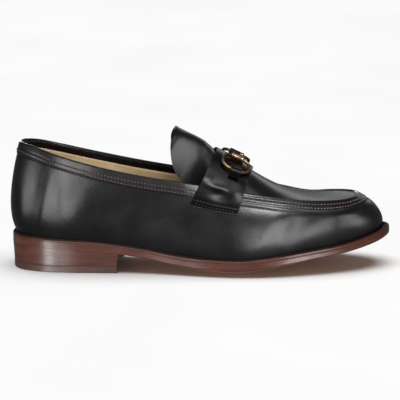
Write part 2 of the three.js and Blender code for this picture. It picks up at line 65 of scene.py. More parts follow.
# %% The sizes and the sections of the last, in millimetres and percentages
LENGTH, BALL_WIDTH, BACK_HEIGHT = 300.0, 104.0, 100.0
CLEARANCE = 0.3
WALL, PLUG_DROP, PLUG_WALL, PLUG_GAP = 1.8, 1.1, 1.6, 0.4
WELT, WELT_TUCK, INSOLE, INSOLE_GAP, FLAT_POWER = 2.8, 0.2, 5.2, 0.7, 2.5
CAD_MIDDLE = np.array([150.14, 0.17, 0.0])
PERCENT = np.array([LENGTH, BALL_WIDTH, BACK_HEIGHT]) / 100

SOLE_COLUMNS = ["x", "foot_lat", "foot_med", "rim_lat", "rim_med", "welt_top", "edge", "sag"]
SOLE_ROWS = np.array([
    [1.6, 0.0, 0.0, 2.6, 2.6, 28.8, 8.3, 0.0],
    [3.7, 16.8, 16.8, 2.6, 2.6, 28.5, 8.3, 0.0],
    [8.0, 24.3, 24.3, 2.3, 2.3, 27.9, 8.3, 0.0],
    [15.0, 28.7, 28.4, 2.1, 2.1, 26.9, 8.3, 0.0],
    [25.0, 30.6, 28.4, 2.1, 2.0, 24.9, 8.3, 0.0],
    [35.0, 32.9, 26.5, 2.2, 2.0, 20.8, 8.0, 2.0],
    [45.0, 38.0, 30.8, 3.2, 2.6, 16.0, 8.4, 4.5],
    [53.3, 42.8, 38.0, 4.3, 3.4, 14.3, 8.8, 6.5],
    [61.7, 45.0, 43.8, 4.9, 4.3, 14.2, 8.7, 6.7],
    [70.7, 42.3, 45.2, 5.1, 4.9, 17.2, 8.3, 6.0],
    [80.0, 34.4, 40.4, 5.4, 5.3, 20.6, 7.4, 4.0],
    [87.3, 26.0, 34.6, 5.6, 5.6, 23.2, 7.3, 2.2],
    [93.0, 16.3, 27.4, 5.7, 5.7, 26.4, 7.3, 1.0],
    [96.8, 5.0, 17.8, 5.7, 5.7, 29.1, 7.3, 0.3],
    [98.0, -6.7, 6.7, 5.7, 5.7, 30.2, 7.3, 0.0],
])
WALL_COLUMNS = ["belly_lat", "belly_med", "belly_up", "shoulder", "drop",
                "top_x", "top_lat", "top_med", "top_z", "ridge", "medial_dip"]
WALL_ROWS = np.array([
    [8.5, 8.5, 14.5, 6.5, 22, 2.9, 0.0, 0.0, 99.8, 120.0, 0],
    [8.2, 8.2, 15.0, 7.0, 22, 3.8, 8.4, 8.4, 99.7, 120.0, 0],
    [7.0, 7.0, 16.0, 7.5, 23, 6.8, 16.1, 16.1, 98.1, 120.0, 0],
    [5.8, 6.2, 16.0, 6.5, 22, 12.2, 24.3, 24.3, 93.4, 120.0, 0],
    [4.8, 6.0, 16.0, 4.0, 18, 21.8, 30.2, 30.2, 85.9, 120.0, 0],
    [3.6, 8.0, 15.0, 3.0, 16, 32.8, 31.7, 31.7, 78.9, 119.0, 0],
    [3.0, 6.0, 15.0, 6.5, 14, 43.7, 30.8, 31.0, 73.3, 109.0, 0],
    [2.8, 4.0, 15.0, 9.0, 14, 52.7, 30.2, 30.8, 68.6, 93.3, 0],
    [2.8, 3.2, 14.0, 11.5, 10, 61.3, 29.8, 30.4, 64.2, 79.3, 0],
    [3.0, 3.2, 13.0, 11.0, 5.5, 70.3, 30.5, 30.0, 60.2, 63.9, 1.4],
    [3.2, 3.2, 11.5, 9.5, 4.0, 78.7, 28.6, 26.4, 57.6, 56.5, 3],
    [3.2, 3.2, 10.5, 10.0, 4.0, 84.7, 23.8, 23.6, 56.9, 55.4, 1.3],
    [3.0, 3.0, 9.5, 11.5, 4.0, 88.5, 15.6, 18.5, 56.7, 55.1, 0.2],
    [3.0, 3.0, 9.0, 13.0, 4.2, 90.6, 6.0, 11.6, 57.0, 55.5, 0],
    [3.0, 3.0, 8.5, 13.5, 4.2, 91.2, -2.9, 2.9, 57.4, 56.2, 0],
])
SOLE_TABLE = dict(zip(SOLE_COLUMNS, SOLE_ROWS.T))
WALL_TABLE = dict(zip(WALL_COLUMNS, WALL_ROWS.T))
print("sections of the last:", len(SOLE_ROWS))

# %% [markdown]
# The sections are joined by smooth curves. Round the shoe the curve is a closed loop, which
# starts at the heel back, runs along the lateral side to the toe and comes back along the medial
# side. Along the shoe a second curve gives what both sides share, such as the height of the welt.
# A place is a share of the way round the loop, so that 0 is the heel back and 0.5 the toe tip.

# %% Smooth curves through the sections
LOOP_COLUMNS = ["x", "y", "rim", "belly", "belly_up", "shoulder", "drop",
                "top_x", "top_y", "top_z", "ridge"]


def side_rows(sign):
    s, w = SOLE_TABLE, WALL_TABLE
    side, dip = ("lat", 0) if sign < 0 else ("med", w["medial_dip"])
    return np.column_stack([
        s["x"] * PERCENT[0], sign * s["foot_" + side] * PERCENT[1], s["rim_" + side],
        w["belly_" + side], w["belly_up"], w["shoulder"], w["drop"], w["top_x"] * PERCENT[0],
        sign * w["top_" + side] * PERCENT[1], (w["top_z"] - dip) * PERCENT[2], w["ridge"] * PERCENT[2],
    ])


def loop_knots():
    steps = 0
    for side in ("foot_lat", "foot_med"):
        across = np.diff(SOLE_TABLE[side]) * PERCENT[1]
        steps = steps + np.hypot(np.diff(SOLE_TABLE["x"]) * PERCENT[0], across) / 2
    half = np.concatenate([[0], np.cumsum(steps)]) / (2 * steps.sum())
    return np.concatenate([half, 1 - half[1:-1][::-1]])


LOOP_ROWS = np.vstack([side_rows(-1), side_rows(1)[1:-1][::-1]])
KNOTS = loop_knots()


def blend_rows(knots, rows, slopes, k, at):
    gap = (knots[k + 1] - knots[k])[..., None]
    t = (at - knots[k])[..., None] / gap
    t2, t3 = t * t, t * t * t
    return ((2 * t3 - 3 * t2 + 1) * rows[k] + (t3 - 2 * t2 + t) * gap * slopes[k]
            + (3 * t2 - 2 * t3) * rows[k + 1] + (t3 - t2) * gap * slopes[k + 1])


def inner_slopes(steps, rates):
    """Slopes at the inner knots of a curve, so that it passes them without a kink."""
    return (steps[:-1] * rates[1:] + steps[1:] * rates[:-1]) / (steps[:-1] + steps[1:])


def open_curve(knots, rows, at):
    """A smooth curve through rows that lie at knots, straight at both ends."""
    steps = np.diff(knots)[:, None]
    rates = np.diff(rows, axis=0) / steps
    slopes = np.vstack([rates[:1], inner_slopes(steps, rates), rates[-1:]])
    k = np.clip(np.searchsorted(knots, at, side="right") - 1, 0, len(knots) - 2)
    return blend_rows(knots, rows, slopes, k, at)


def wrapped_spline(knots, rows):
    """The same for a loop whose last row is followed by its first one."""
    knots = np.concatenate([knots[-1:] - 1, knots, [1.0, 1.0 + knots[1]]])
    rows = np.vstack([rows[-1:], rows, rows[:2]])
    steps = np.diff(knots)[:, None]
    slopes = np.zeros_like(rows)
    slopes[1:-1] = inner_slopes(steps, np.diff(rows, axis=0) / steps)
    return knots, rows, slopes


LOOP_SPLINE = wrapped_spline(KNOTS, LOOP_ROWS)


def last_at(place):
    """Every column of the last at some places on the loop, by name."""
    place = np.asarray(place, float) % 1.0
    knots, rows, slopes = LOOP_SPLINE
    k = np.clip(np.searchsorted(knots, place, side="right") - 1, 1, len(knots) - 3)
    values = blend_rows(knots, rows, slopes, k, place)
    return {name: values[..., i] for i, name in enumerate(LOOP_COLUMNS)}


STATION_X = SOLE_TABLE["x"] * PERCENT[0]


def along_x(column, x):
    """A column that both sides share, by x, going on straight past the end sections."""
    rates = np.diff(SOLE_TABLE[column]) / np.diff(STATION_X)
    inside = np.clip(x, STATION_X[0], STATION_X[-1])
    value = open_curve(STATION_X, SOLE_TABLE[column][:, None], inside)[..., 0]
    end_slope = np.where(x < STATION_X[0], rates[0], rates[-1])
    return value + end_slope * (x - inside)


def welt_top(x):
    return along_x("welt_top", x) * PERCENT[2]


print("heel back, toe tip:", last_at(0.0)["x"], last_at(0.5)["x"])

# %% [markdown]
# The wall of the upper is one curve per place: it leaves the sole outward, bellies, and comes in
# over the shoulder to the topline. Its outward normal is found by taking small steps along it, so
# that folds, stitches and creases can be laid on the leather at any distance from its face.

# %% Points on the wall of the upper
STEP = 0.002


def outward(place):
    a, b = last_at(place - STEP), last_at(place + STEP)
    dx, dy = b["x"] - a["x"], b["y"] - a["y"]
    size = np.hypot(dx, dy)
    return np.stack([dy / size, -dx / size, np.zeros_like(size)], axis=-1)


def beside_foot(place, out):
    """A point in plan, some millimetres outside the foot line."""
    v = last_at(place)
    foot = np.stack([v["x"], v["y"], np.zeros_like(v["x"])], axis=-1)
    return foot + outward(place) * np.asarray(out)[..., None]


def plain_wall(place, up):
    place, up = np.broadcast_arrays(np.asarray(place, float), np.asarray(up, float))
    v, out = last_at(place), outward(place)
    foot = np.stack([v["x"], v["y"], welt_top(v["x"]) + CLEARANCE], axis=-1)
    top = np.stack([v["top_x"], v["top_y"], v["top_z"]], axis=-1)
    belly = foot + out * v["belly"][..., None]
    belly[..., 2] += v["belly_up"]
    shoulder = top + out * v["shoulder"][..., None]
    shoulder[..., 2] -= v["drop"]
    t = up[..., None]
    return ((1 - t) ** 3 * foot + 3 * (1 - t) ** 2 * t * belly
            + 3 * (1 - t) * t * t * shoulder + t ** 3 * top)


def unit(v):
    return v / np.maximum(np.linalg.norm(v, axis=-1, keepdims=True), 1e-9)


def wall_directions(place, up):
    """Up along the wall, and its outward normal."""
    low, high = np.maximum(up - STEP, 0), np.minimum(up + STEP, 1)
    rise = unit(plain_wall(place, high) - plain_wall(place, low))
    along = unit(plain_wall(place + STEP, up) - plain_wall(place - STEP, up))
    return rise, unit(np.cross(along, rise))


def wall_point(place, up, out):
    place, up, out = np.broadcast_arrays(*(np.asarray(a, float) for a in (place, up, out)))
    rise, normal = wall_directions(place, up)
    level = unit(normal * np.array([1, 1, 0]))
    normal = np.where((up <= 0)[..., None], level, normal)
    return plain_wall(place, up) + normal * out[..., None]


def wall_height(place):
    """Length of the wall near its top edge, so that millimetres there can be turned into shares."""
    return np.linalg.norm(plain_wall(place, 1.0) - plain_wall(place, 0.8), axis=-1) / 0.2


print("wall height at the side:", round(float(wall_height(np.array(0.2))), 1), "mm")

# %% [markdown]
# Most pieces are grids of points: a loop round the shoe, such as the upper or the welt, or a
# sheet with a top, an underside and a border, such as the strap. Building them as grids keeps
# the rows of faces in line with the seams, so that edges stay clean and the shading is smooth.
# A bevel softens the cut edges, because no leather edge is knife sharp.

# %% Grids of points into closed pieces
SHARP_ANGLE = 42


def to_frame(points):
    return (np.asarray(points) - CAD_MIDDLE) * 0.001


def make_piece(name, points, faces, finishes, face_finish=None):
    """One object from points in millimetres, smooth but for its sharp edges."""
    mesh = bpy.data.meshes.new(name)
    mesh.from_pydata(to_frame(points).tolist(), [], [list(map(int, f)) for f in faces])
    mesh.validate()
    for finish in finishes:
        mesh.materials.append(finish)
    if face_finish is not None:
        mesh.polygons.foreach_set("material_index", np.asarray(face_finish, np.int32))
    mesh.polygons.foreach_set("use_smooth", np.ones(len(mesh.polygons), bool))
    mesh.set_sharp_from_angle(angle=math.radians(SHARP_ANGLE))
    piece = bpy.data.objects.new(name, mesh)
    bpy.context.scene.collection.objects.link(piece)
    return piece


def dress(piece, slot, *nodes):
    """The piece rides on the shoe and stands for its CAD nodes. Its slot is not used."""
    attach(piece, "root")
    if nodes:
        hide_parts(*nodes)
    print(piece.name, len(piece.data.polygons), "faces")
    return piece


def loop_faces(rounds, size):
    i, j = np.meshgrid(np.arange(rounds), np.arange(size), indexing="ij")
    n, k = (i + 1) % rounds, (j + 1) % size
    quads = np.stack([i * size + j, n * size + j, n * size + k, i * size + k], axis=-1)
    return quads.reshape(-1, 4)


def loop_piece(name, grid, finishes, face_finish=None):
    """A closed piece that runs round, from one closed outline of points per place."""
    rounds, size = grid.shape[:2]
    return make_piece(name, grid.reshape(-1, 3), loop_faces(rounds, size), finishes, face_finish)


def sheet_piece(name, top, bottom, finishes, inside=0, edge=0):
    """A closed sheet from rows of top and bottom points, with its own finish inside and on its edge."""
    rows, width = top.shape[:2]
    below = rows * width
    i, j = (a.ravel() for a in np.meshgrid(np.arange(rows - 1), np.arange(width - 1), indexing="ij"))
    a = i * width + j
    b = a + width
    faces = [np.stack([a, b, b + 1, a + 1], 1), below + np.stack([a, a + 1, b + 1, b], 1)]
    first = np.arange(rows - 1) * width
    last = first + width - 1
    faces.append(np.stack([first, below + first, below + first + width, first + width], 1))
    faces.append(np.stack([last, last + width, below + last + width, below + last], 1))
    start = np.arange(width - 1)
    end = (rows - 1) * width + start
    faces.append(np.stack([start, start + 1, below + start + 1, below + start], 1))
    faces.append(np.stack([end, below + end, below + end + 1, end + 1], 1))
    kinds = (0, inside, edge, edge, edge, edge)
    marks = np.concatenate([np.full(len(part), kind) for part, kind in zip(faces, kinds)])
    points = np.concatenate([top.reshape(-1, 3), bottom.reshape(-1, 3)])
    return make_piece(name, points, np.concatenate(faces), finishes, marks)


def weld_corners(piece):
    weld = piece.modifiers.new("weld", "WELD")
    weld.merge_threshold = 1e-6


def layered_piece(name, levels, finishes, inside=0):
    """A closed piece from grids at several levels, top first. Only the borders of the middle ones show."""
    top, bottom = levels[0], levels[-1]
    n, m = top.shape[:2]
    border = np.concatenate([np.arange(m), np.arange(1, n) * m + m - 1,
                             (n - 1) * m + np.arange(m - 2, -1, -1), np.arange(n - 2, 0, -1) * m])
    i, j = (a.ravel() for a in np.meshgrid(np.arange(n - 1), np.arange(m - 1), indexing="ij"))
    a = i * m + j
    b = a + m
    faces = [np.stack([a, b, b + 1, a + 1], 1), n * m + np.stack([a, a + 1, b + 1, b], 1)]
    points, rings = [top.reshape(-1, 3), bottom.reshape(-1, 3)], [border]
    for count, level in enumerate(levels[1:-1]):
        points.append(level.reshape(-1, 3)[border])
        rings.append(2 * n * m + count * len(border) + np.arange(len(border)))
    rings.append(border + n * m)
    for high, low in zip(rings, rings[1:]):
        faces.append(np.stack([high, np.roll(high, -1), np.roll(low, -1), low], 1))
    marks = [0] * len(faces[0]) + [inside] * len(faces[1]) + [0] * sum(len(f) for f in faces[2:])
    piece = make_piece(name, np.concatenate(points), np.concatenate(faces), finishes, marks)
    weld_corners(piece)
    return piece


def soften(piece, width, segments=3, angle=40):
    """Weld corners that meet, and round the sharp edges."""
    weld_corners(piece)
    bevel = piece.modifiers.new("soft_edges", "BEVEL")
    bevel.width = width * 0.001
    bevel.segments = segments
    bevel.limit_method = "ANGLE"
    bevel.angle_limit = math.radians(angle)
    bevel.use_clamp_overlap = True
    return piece


def grid_normals(grid):
    along = np.gradient(grid, axis=0)
    across = np.gradient(grid, axis=1)
    normals = np.cross(along, across)
    normals[np.linalg.norm(normals, axis=-1) < 1e-9] = (0, 0, 1)
    return unit(normals)


def reach_along(line):
    """How far along a line each of its points lies."""
    return np.concatenate([[0], np.cumsum(np.linalg.norm(np.diff(line, axis=0), axis=1))])


def crowded(steps, first=0.0, last=1.0):
    """Shares that crowd together at both round ends."""
    return first + (last - first) * (1 - np.cos(np.pi * np.arange(steps + 1) / steps)) / 2


# Width, segments and angle of the bevel on thin leather
THIN_EDGE = (0.35, 2, 50)
print("bevel on thin leather:", THIN_EDGE)

# %% [markdown]
# Every finish is made of nodes: a base colour and a roughness that noises vary, and mostly a bump
# for grain. An image could give the same picture from one side, but noises that read the object's
# own coordinates hold at any distance and need no unwrapping. Dyed calf is nearly black, so what
# is seen of it is mostly its gloss.

# %% Finishes
WEAR_SCALE, GRAIN_DETAIL = 2.7, 3.0


def texture_node(kind, nodes, links, coords, scale, stretch):
    """A noise or cell texture on the object's own coordinates."""
    mapping = nodes.new("ShaderNodeMapping")
    mapping.inputs["Scale"].default_value = stretch
    links.new(coords.outputs["Object"], mapping.inputs["Vector"])
    texture = nodes.new(kind)
    texture.inputs["Scale"].default_value = scale
    links.new(mapping.outputs["Vector"], texture.inputs["Vector"])
    return texture


def noise_node(nodes, links, coords, scale, detail, stretch):
    noise = texture_node("ShaderNodeTexNoise", nodes, links, coords, scale, stretch)
    noise.inputs["Detail"].default_value = detail
    return noise


def ramp_node(nodes, links, source, stops):
    ramp = nodes.new("ShaderNodeValToRGB")
    elements = ramp.color_ramp.elements
    while len(elements) < len(stops):
        elements.new(0.5)
    for element, (place, colour) in zip(elements, stops):
        element.position = place
        element.color = (*colour, 1)
    links.new(source, ramp.inputs["Fac"])
    return ramp


def add_bump(nodes, links, height, strength, distance, before=None):
    bump = nodes.new("ShaderNodeBump")
    bump.inputs["Strength"].default_value = strength
    bump.inputs["Distance"].default_value = distance
    links.new(height, bump.inputs["Height"])
    if before is not None:
        links.new(before.outputs["Normal"], bump.inputs["Normal"])
    return bump


def make_finish(name, colours, tone, rough, bumps=(), metal=0.0, **sockets):
    """Colours are stops along the tone noise. Bumps are (kind, scale, strength, mm, stretch)."""
    finish = bpy.data.materials.new(name)
    finish.use_nodes = True
    nodes, links = finish.node_tree.nodes, finish.node_tree.links
    shader = nodes["Principled BSDF"]
    coords = nodes.new("ShaderNodeTexCoord")
    scale, detail, stretch = tone
    noise = noise_node(nodes, links, coords, scale, detail, stretch)
    ramp = ramp_node(nodes, links, noise.outputs["Fac"], colours)
    links.new(ramp.outputs["Color"], shader.inputs["Base Color"])
    wear = noise_node(nodes, links, coords, scale * WEAR_SCALE, detail, stretch)
    spread = nodes.new("ShaderNodeMapRange")
    for socket, value in zip(("From Min", "From Max", "To Min", "To Max"), (0.3, 0.7, *rough)):
        spread.inputs[socket].default_value = value
    links.new(wear.outputs["Fac"], spread.inputs["Value"])
    links.new(spread.outputs["Result"], shader.inputs["Roughness"])
    bump = None
    for kind, bump_scale, strength, depth, bump_stretch in bumps:
        if kind == "cells":
            cells = texture_node("ShaderNodeTexVoronoi", nodes, links, coords, bump_scale, bump_stretch)
            height = cells.outputs["Distance"]
        else:
            grain = noise_node(nodes, links, coords, bump_scale, GRAIN_DETAIL, bump_stretch)
            height = grain.outputs["Fac"]
        bump = add_bump(nodes, links, height, strength, depth * 0.001, bump)
    if bump is not None:
        links.new(bump.outputs["Normal"], shader.inputs["Normal"])
    shader.inputs["Metallic"].default_value = metal
    for socket, value in sockets.items():
        shader.inputs[socket.replace("_", " ")].default_value = value
    return finish


def tones(*colours):
    """Stops of a colour ramp: two shades at 0.3 and 0.7, or three from 0.25 to 0.75."""
    places = (0.3, 0.7) if len(colours) == 2 else (0.25, 0.5, 0.75)
    return list(zip(places, colours))


EVEN, ALONG_EDGE = (1, 1, 1), (1.0, 1.0, 5.0)
CALF_GRAIN = [("noise", 1100, 0.30, 0.06, EVEN), ("noise", 430, 0.30, 0.15, EVEN)]
THREAD_TWIST = [("noise", 6000, 0.4, 0.03, EVEN)]
LAYER_LINES = [("noise", 900, 0.10, 0.06, (1, 1, 2.5))]
BRASS_WEAR = [("noise", 900, 0.08, 0.05, EVEN)]
calf = make_finish(
    "polished_calf", tones((0.0026, 0.0023, 0.0024), (0.0048, 0.0043, 0.0044)), (25, 3, EVEN), (0.24, 0.32),
    CALF_GRAIN, Coat_Weight=0.04, Coat_Roughness=0.28, Specular_IOR_Level=0.25)
# The collar band is the same calf as the wall. Its lighter base colour is painted sheen.
band_calf_painted_sheen = make_finish(
    "collar_calf_painted_sheen", tones((0.0038, 0.0031, 0.0032), (0.0066, 0.0054, 0.0056)), (25, 3, EVEN), (0.24, 0.32),
    CALF_GRAIN, Coat_Weight=0.04, Coat_Roughness=0.30, Specular_IOR_Level=0.26)
cut_edge = make_finish(
    "cut_leather_edge", tones((0.070, 0.032, 0.026), (0.120, 0.060, 0.048)), (300, 2, EVEN), (0.4, 0.55),
    [("noise", 2500, 0.3, 0.05, EVEN)])
lining_leather = make_finish(
    "tan_lining", tones((0.37, 0.27, 0.145), (0.48, 0.36, 0.21)), (60, 4, EVEN), (0.5, 0.68),
    [("cells", 1800, 0.25, 0.05, EVEN), ("noise", 260, 0.18, 0.12, EVEN)], Specular_IOR_Level=0.3)
thread = make_finish(
    "waxed_thread", tones((0.040, 0.021, 0.022), (0.085, 0.056, 0.056)), (500, 2, EVEN), (0.36, 0.48),
    THREAD_TWIST, Specular_IOR_Level=0.6)
# The strap's cut edge is waxed grey. Its base colour is lightened as a painted highlight for the thin light
# line the edge catches.
waxed_edge_painted_highlight = make_finish(
    "waxed_strap_edge_painted_highlight", tones((0.150, 0.136, 0.140), (0.240, 0.220, 0.224)), (300, 2, EVEN), (0.35, 0.50),
    [("noise", 2500, 0.2, 0.04, EVEN)])
collar_thread = make_finish(
    "maroon_thread", tones((0.020, 0.006, 0.007), (0.050, 0.020, 0.021)), (500, 2, EVEN), (0.36, 0.48),
    THREAD_TWIST, Specular_IOR_Level=0.5)
# Near-black domes at the needle holes: painted shade for the inside of each hole.
needle_hole_painted_shade = make_finish(
    "needle_hole_painted_shade", tones((0.0020, 0.0012, 0.0012), (0.0045, 0.0026, 0.0026)), (500, 2, EVEN), (0.8, 0.95),
    [("noise", 4000, 0.2, 0.02, EVEN)], Specular_IOR_Level=0.05)
pale_thread = make_finish(
    "lining_thread", tones((0.30, 0.18, 0.09), (0.42, 0.27, 0.15)), (500, 2, EVEN), (0.5, 0.65), THREAD_TWIST)
welt_thread = make_finish(
    "welt_thread", tones((0.014, 0.008, 0.007), (0.034, 0.018, 0.014)), (500, 2, EVEN), (0.5, 0.65),
    THREAD_TWIST)
sole_edge = make_finish(
    "burnished_sole_edge", tones((0.060, 0.0160, 0.0100), (0.084, 0.0245, 0.0155), (0.112, 0.0370, 0.0240)),
    (45, 4, ALONG_EDGE), (0.26, 0.36), LAYER_LINES, Coat_Weight=0.22, Coat_Roughness=0.20)
sole_bottom = make_finish(
    "sole_bottom_leather", tones((0.24, 0.115, 0.060), (0.34, 0.18, 0.100)),
    (30, 5, (0.5, 1, 1)), (0.40, 0.55),
    [("noise", 1500, 0.2, 0.06, EVEN), ("noise", 90, 0.15, 0.2, EVEN)], Coat_Weight=0.1, Coat_Roughness=0.3)
lift_edge = make_finish(
    "top_lift_edge", tones((0.056, 0.024, 0.018), (0.090, 0.041, 0.030)), (45, 4, ALONG_EDGE), (0.34, 0.44),
    LAYER_LINES, Coat_Weight=0.20, Coat_Roughness=0.22)
lift_rubber = make_finish(
    "top_lift_rubber", tones((0.030, 0.016, 0.013), (0.052, 0.027, 0.021)), (120, 4, EVEN), (0.5, 0.65),
    [("noise", 1200, 0.25, 0.08, EVEN)])
antique_brass = make_finish(
    "antique_brass", tones((0.20, 0.125, 0.055), (0.42, 0.270, 0.130), (0.62, 0.42, 0.220)),
    (160, 4, EVEN), (0.22, 0.36), BRASS_WEAR, metal=1.0)
worn_copper = make_finish(
    "worn_copper", tones((0.42, 0.22, 0.130), (0.58, 0.33, 0.215), (0.70, 0.43, 0.30)),
    (160, 4, EVEN), (0.24, 0.36), BRASS_WEAR, metal=1.0)
# A darker copy of the brass: painted shade for the medial ring and sleeve, which lie on the far side away
# from the lamps. The bar takes it too.
brass_painted_shade = make_finish(
    "brass_with_painted_shade", tones((0.13, 0.09, 0.035), (0.36, 0.25, 0.11)), (200, 4, EVEN), (0.25, 0.42),
    [("noise", 900, 0.10, 0.05, EVEN)], metal=1.0)
print("finishes:", len(bpy.data.materials))

# %% [markdown]
# The upper is one wall of calf round the foot. On the real shoe a narrow strip is sewn round the
# collar, and the wall is pulled over the last until only a few soft waves are left. The wall is
# built from the sections, and the relief is a distance in millimetres out of the plain wall,
# added where the strip, the seams and the waves lie.

# %% The relief of the upper
STRAP_REAR = 54.33 * PERCENT[0]
BAND_WIDTH, BAND_RAISE, BAND_BEHIND, BAND_FADE = 10.2, 0.7, 13.0, 12.0
COLLAR_ROWS, APRON_ROWS, APRON_STRIP, WAVES_BELOW = (6.0, 9.2), (4.3, 7.4), 8.6, 11.0
# Lines along the top edge: millimetres below it, depth (positive for a ridge) and width
COLLAR_LINES = [(BAND_WIDTH + 0.6, -0.22, 0.5)] + [(row, -0.16, 0.55) for row in COLLAR_ROWS]
APRON_LINES = [(row, -0.22, 0.6) for row in APRON_ROWS] + [(1.3, 0.42, 1.1), (APRON_STRIP + 1.6, -0.45, 1.6)]
MEDIAL_WAVES = 0.6


def soft_step(x):
    t = np.clip(x, 0, 1)
    return t * t * (3 - 2 * t)


def hump(x, width):
    return np.exp(-(x / width) ** 2)


def collar_share(place):
    """1 along the collar, 0 along the apron, with the change under the strap."""
    return np.clip((STRAP_REAR - BAND_BEHIND - last_at(place)["top_x"]) / BAND_FADE, 0, 1)


def apron_share(place):
    """1 along the apron, 0 along the collar."""
    return np.clip((last_at(place)["top_x"] - STRAP_REAR) / BAND_FADE, 0, 1)


# Soft waves in the wall: x and height of the middle, length and width, lean in degrees, depth.
# A ridge has a positive depth. They lie on both sides of the shoe, weaker on the medial one.
WAVES = np.array([
    [27.0, 52.0, 26.0, 3.2, 78.0, 0.35],
    [37.0, 50.0, 24.0, 4.0, 84.0, -0.30],
    [60.0, 58.0, 26.0, 9.0, 60.0, 0.45],
    [84.0, 55.0, 24.0, 9.0, 56.0, -0.30],
    [118.0, 45.0, 30.0, 6.0, 24.0, -0.25],
    [205.0, 40.0, 22.0, 5.0, 62.0, 0.25],
    [222.0, 38.0, 22.0, 5.0, 70.0, -0.25],
    [262.0, 42.0, 20.0, 6.0, 8.0, -0.20],
])


def waves_at(points):
    total = np.zeros(points.shape[:-1])
    side = np.where(points[..., 1] < 0, 1.0, MEDIAL_WAVES)
    for x, z, long, wide, lean, depth in WAVES:
        c, s = math.cos(math.radians(lean)), math.sin(math.radians(lean))
        dx, dz = points[..., 0] - x, points[..., 2] - z
        total += depth * hump(dx * c + dz * s, long) * hump(-dx * s + dz * c, wide)
    return total * side


def relief(place, up):
    """Raised collar band with its edge line, the lines that the stitches pull in, and the waves."""
    down = (1 - up) * wall_height(place)
    collar, apron = collar_share(place), apron_share(place)
    total = collar * BAND_RAISE * soft_step((BAND_WIDTH + 0.3 - down) / 0.6)
    for share, lines in ((collar, COLLAR_LINES), (apron, APRON_LINES)):
        for middle, depth, width in lines:
            total = total + share * depth * hump(down - middle, width)
    return total + soft_step((down - WAVES_BELOW) / 6) * waves_at(plain_wall(place, up))


print("soft waves:", len(WAVES))


# %% [markdown]
# At the collar the leather is turned over and runs down inside. Each place round the shoe gives
# one closed outline, up the outside, over the turned edge and down the inside, with its rows
# crowded where the seams are, so that one loop piece makes the whole upper.

# %% The upper, with its turned collar edge
AROUND, FOLD_DEPTH = 400, 13.0
LOW_ROWS, FOLD_ROWS, TURN_ROWS = 30, 45, 9


def upper_outline(place):
    """One closed outline per place: up the outside, over the turned edge and down the inside."""
    place = place[:, None]
    height = wall_height(place)
    raised = collar_share(place) * BAND_RAISE
    radius = (WALL + raised) / 2
    low = np.linspace(0, 1, LOW_ROWS)[None, :] * (1 - FOLD_DEPTH / height)
    down = FOLD_DEPTH + (radius - FOLD_DEPTH) * np.linspace(0, 1, FOLD_ROWS + 1)[1:][None, :]
    outer_up = np.concatenate([low, 1 - down / height], axis=1)
    outer = wall_point(place, outer_up, relief(place, outer_up))
    outer[:, 0, 2] -= CLEARANCE * 0.8
    rise, normal = wall_directions(place, np.ones_like(place))
    turn = np.pi * np.arange(1, TURN_ROWS + 1)[None, :] / (TURN_ROWS + 1)
    middle = plain_wall(place, 1.0) - rise * radius[..., None] + normal * ((raised - WALL) / 2)[..., None]
    edge_out = relief(place, 1 - radius / height) - raised
    outward_part = (radius + edge_out * (1 - turn / np.pi)) * np.cos(turn)
    fold = middle + normal * outward_part[..., None] + rise * (radius * np.sin(turn))[..., None]
    inner_up = np.concatenate([1 - down[:, ::-1][:, ::6] / height, low[:, ::-1][:, ::4]], axis=1)
    inner = wall_point(place, inner_up, -WALL)
    inner[:, -1, 2] -= CLEARANCE * 0.8
    return np.concatenate([outer, fold, inner], axis=1)


around = np.arange(AROUND) / AROUND
outline = upper_outline(around)
upper = loop_piece("upper_calf", outline, [calf, band_calf_painted_sheen])
# The collar band's faces take the lighter calf, whose colour paints the band's sheen.
in_band = FOLD_DEPTH * (1 - np.linspace(0, 1, FOLD_ROWS + 1)[1:]) < BAND_WIDTH + 0.2
beyond = np.ones(outline.shape[1] - LOW_ROWS - FOLD_ROWS, bool)
band = np.zeros(outline.shape[:2], np.int32)
band[collar_share(around) > 0.02] = np.concatenate([np.zeros(LOW_ROWS, bool), in_band, beyond])
upper.data.polygons.foreach_set("material_index", band.ravel())
dress(upper, "calf", "upper")

# %% [markdown]
# Inside, the collar is faced with the same dark calf for a few millimetres, and below it the tan
# lining is stitched on. The lining is a thin skin of its own, because its edge throws the small
# shadow that makes a lined shoe look lined.

# %% The lining
LINING_TOP, LINING_SKIN, LINING_SEAM_X = 7.6, 0.7, 75.0


def heel_grip(place):
    """The lining is double behind the seam at the quarter, where it grips the heel."""
    return 0.35 * soft_step((LINING_SEAM_X - last_at(place)["top_x"]) / 0.8 + 0.5)


def lining_outline(place):
    place = place[:, None]
    height = wall_height(place)
    ups = np.linspace(0.0, 1.0, 24)[None, :] * (1 - LINING_TOP / height)
    skin = wall_point(place, ups, -WALL - 0.08)
    face = wall_point(place, ups, -WALL - LINING_SKIN - heel_grip(place))
    rise, normal = wall_directions(place, 1 - LINING_TOP / height)
    edge = wall_point(place, 1 - LINING_TOP / height, -WALL - (LINING_SKIN + 0.08) / 2) + rise * 0.35
    return np.concatenate([skin, edge, face[:, ::-1]], axis=1)


dress(loop_piece("tan_lining", lining_outline(around[::2]), [lining_leather]), "lining")

# %% [markdown]
# Under the foot lie the sock, the insole, the welt and the outsole. Their heights follow the
# welt's curve along the shoe and sag a little in the middle, where the forefoot touches the floor.

# %% Heights of the sole
ACROSS = np.sin(np.pi / 2 * (-1 + 2 * np.arange(29) / 28))
SHARES = np.linspace(0, 1, 4001)
LAST_ALONG = last_at(SHARES / 2)


def share_at(column, x):
    """Share of the way from the heel back to the toe tip where a column of x reaches x."""
    return np.interp(x, LAST_ALONG[column], SHARES)


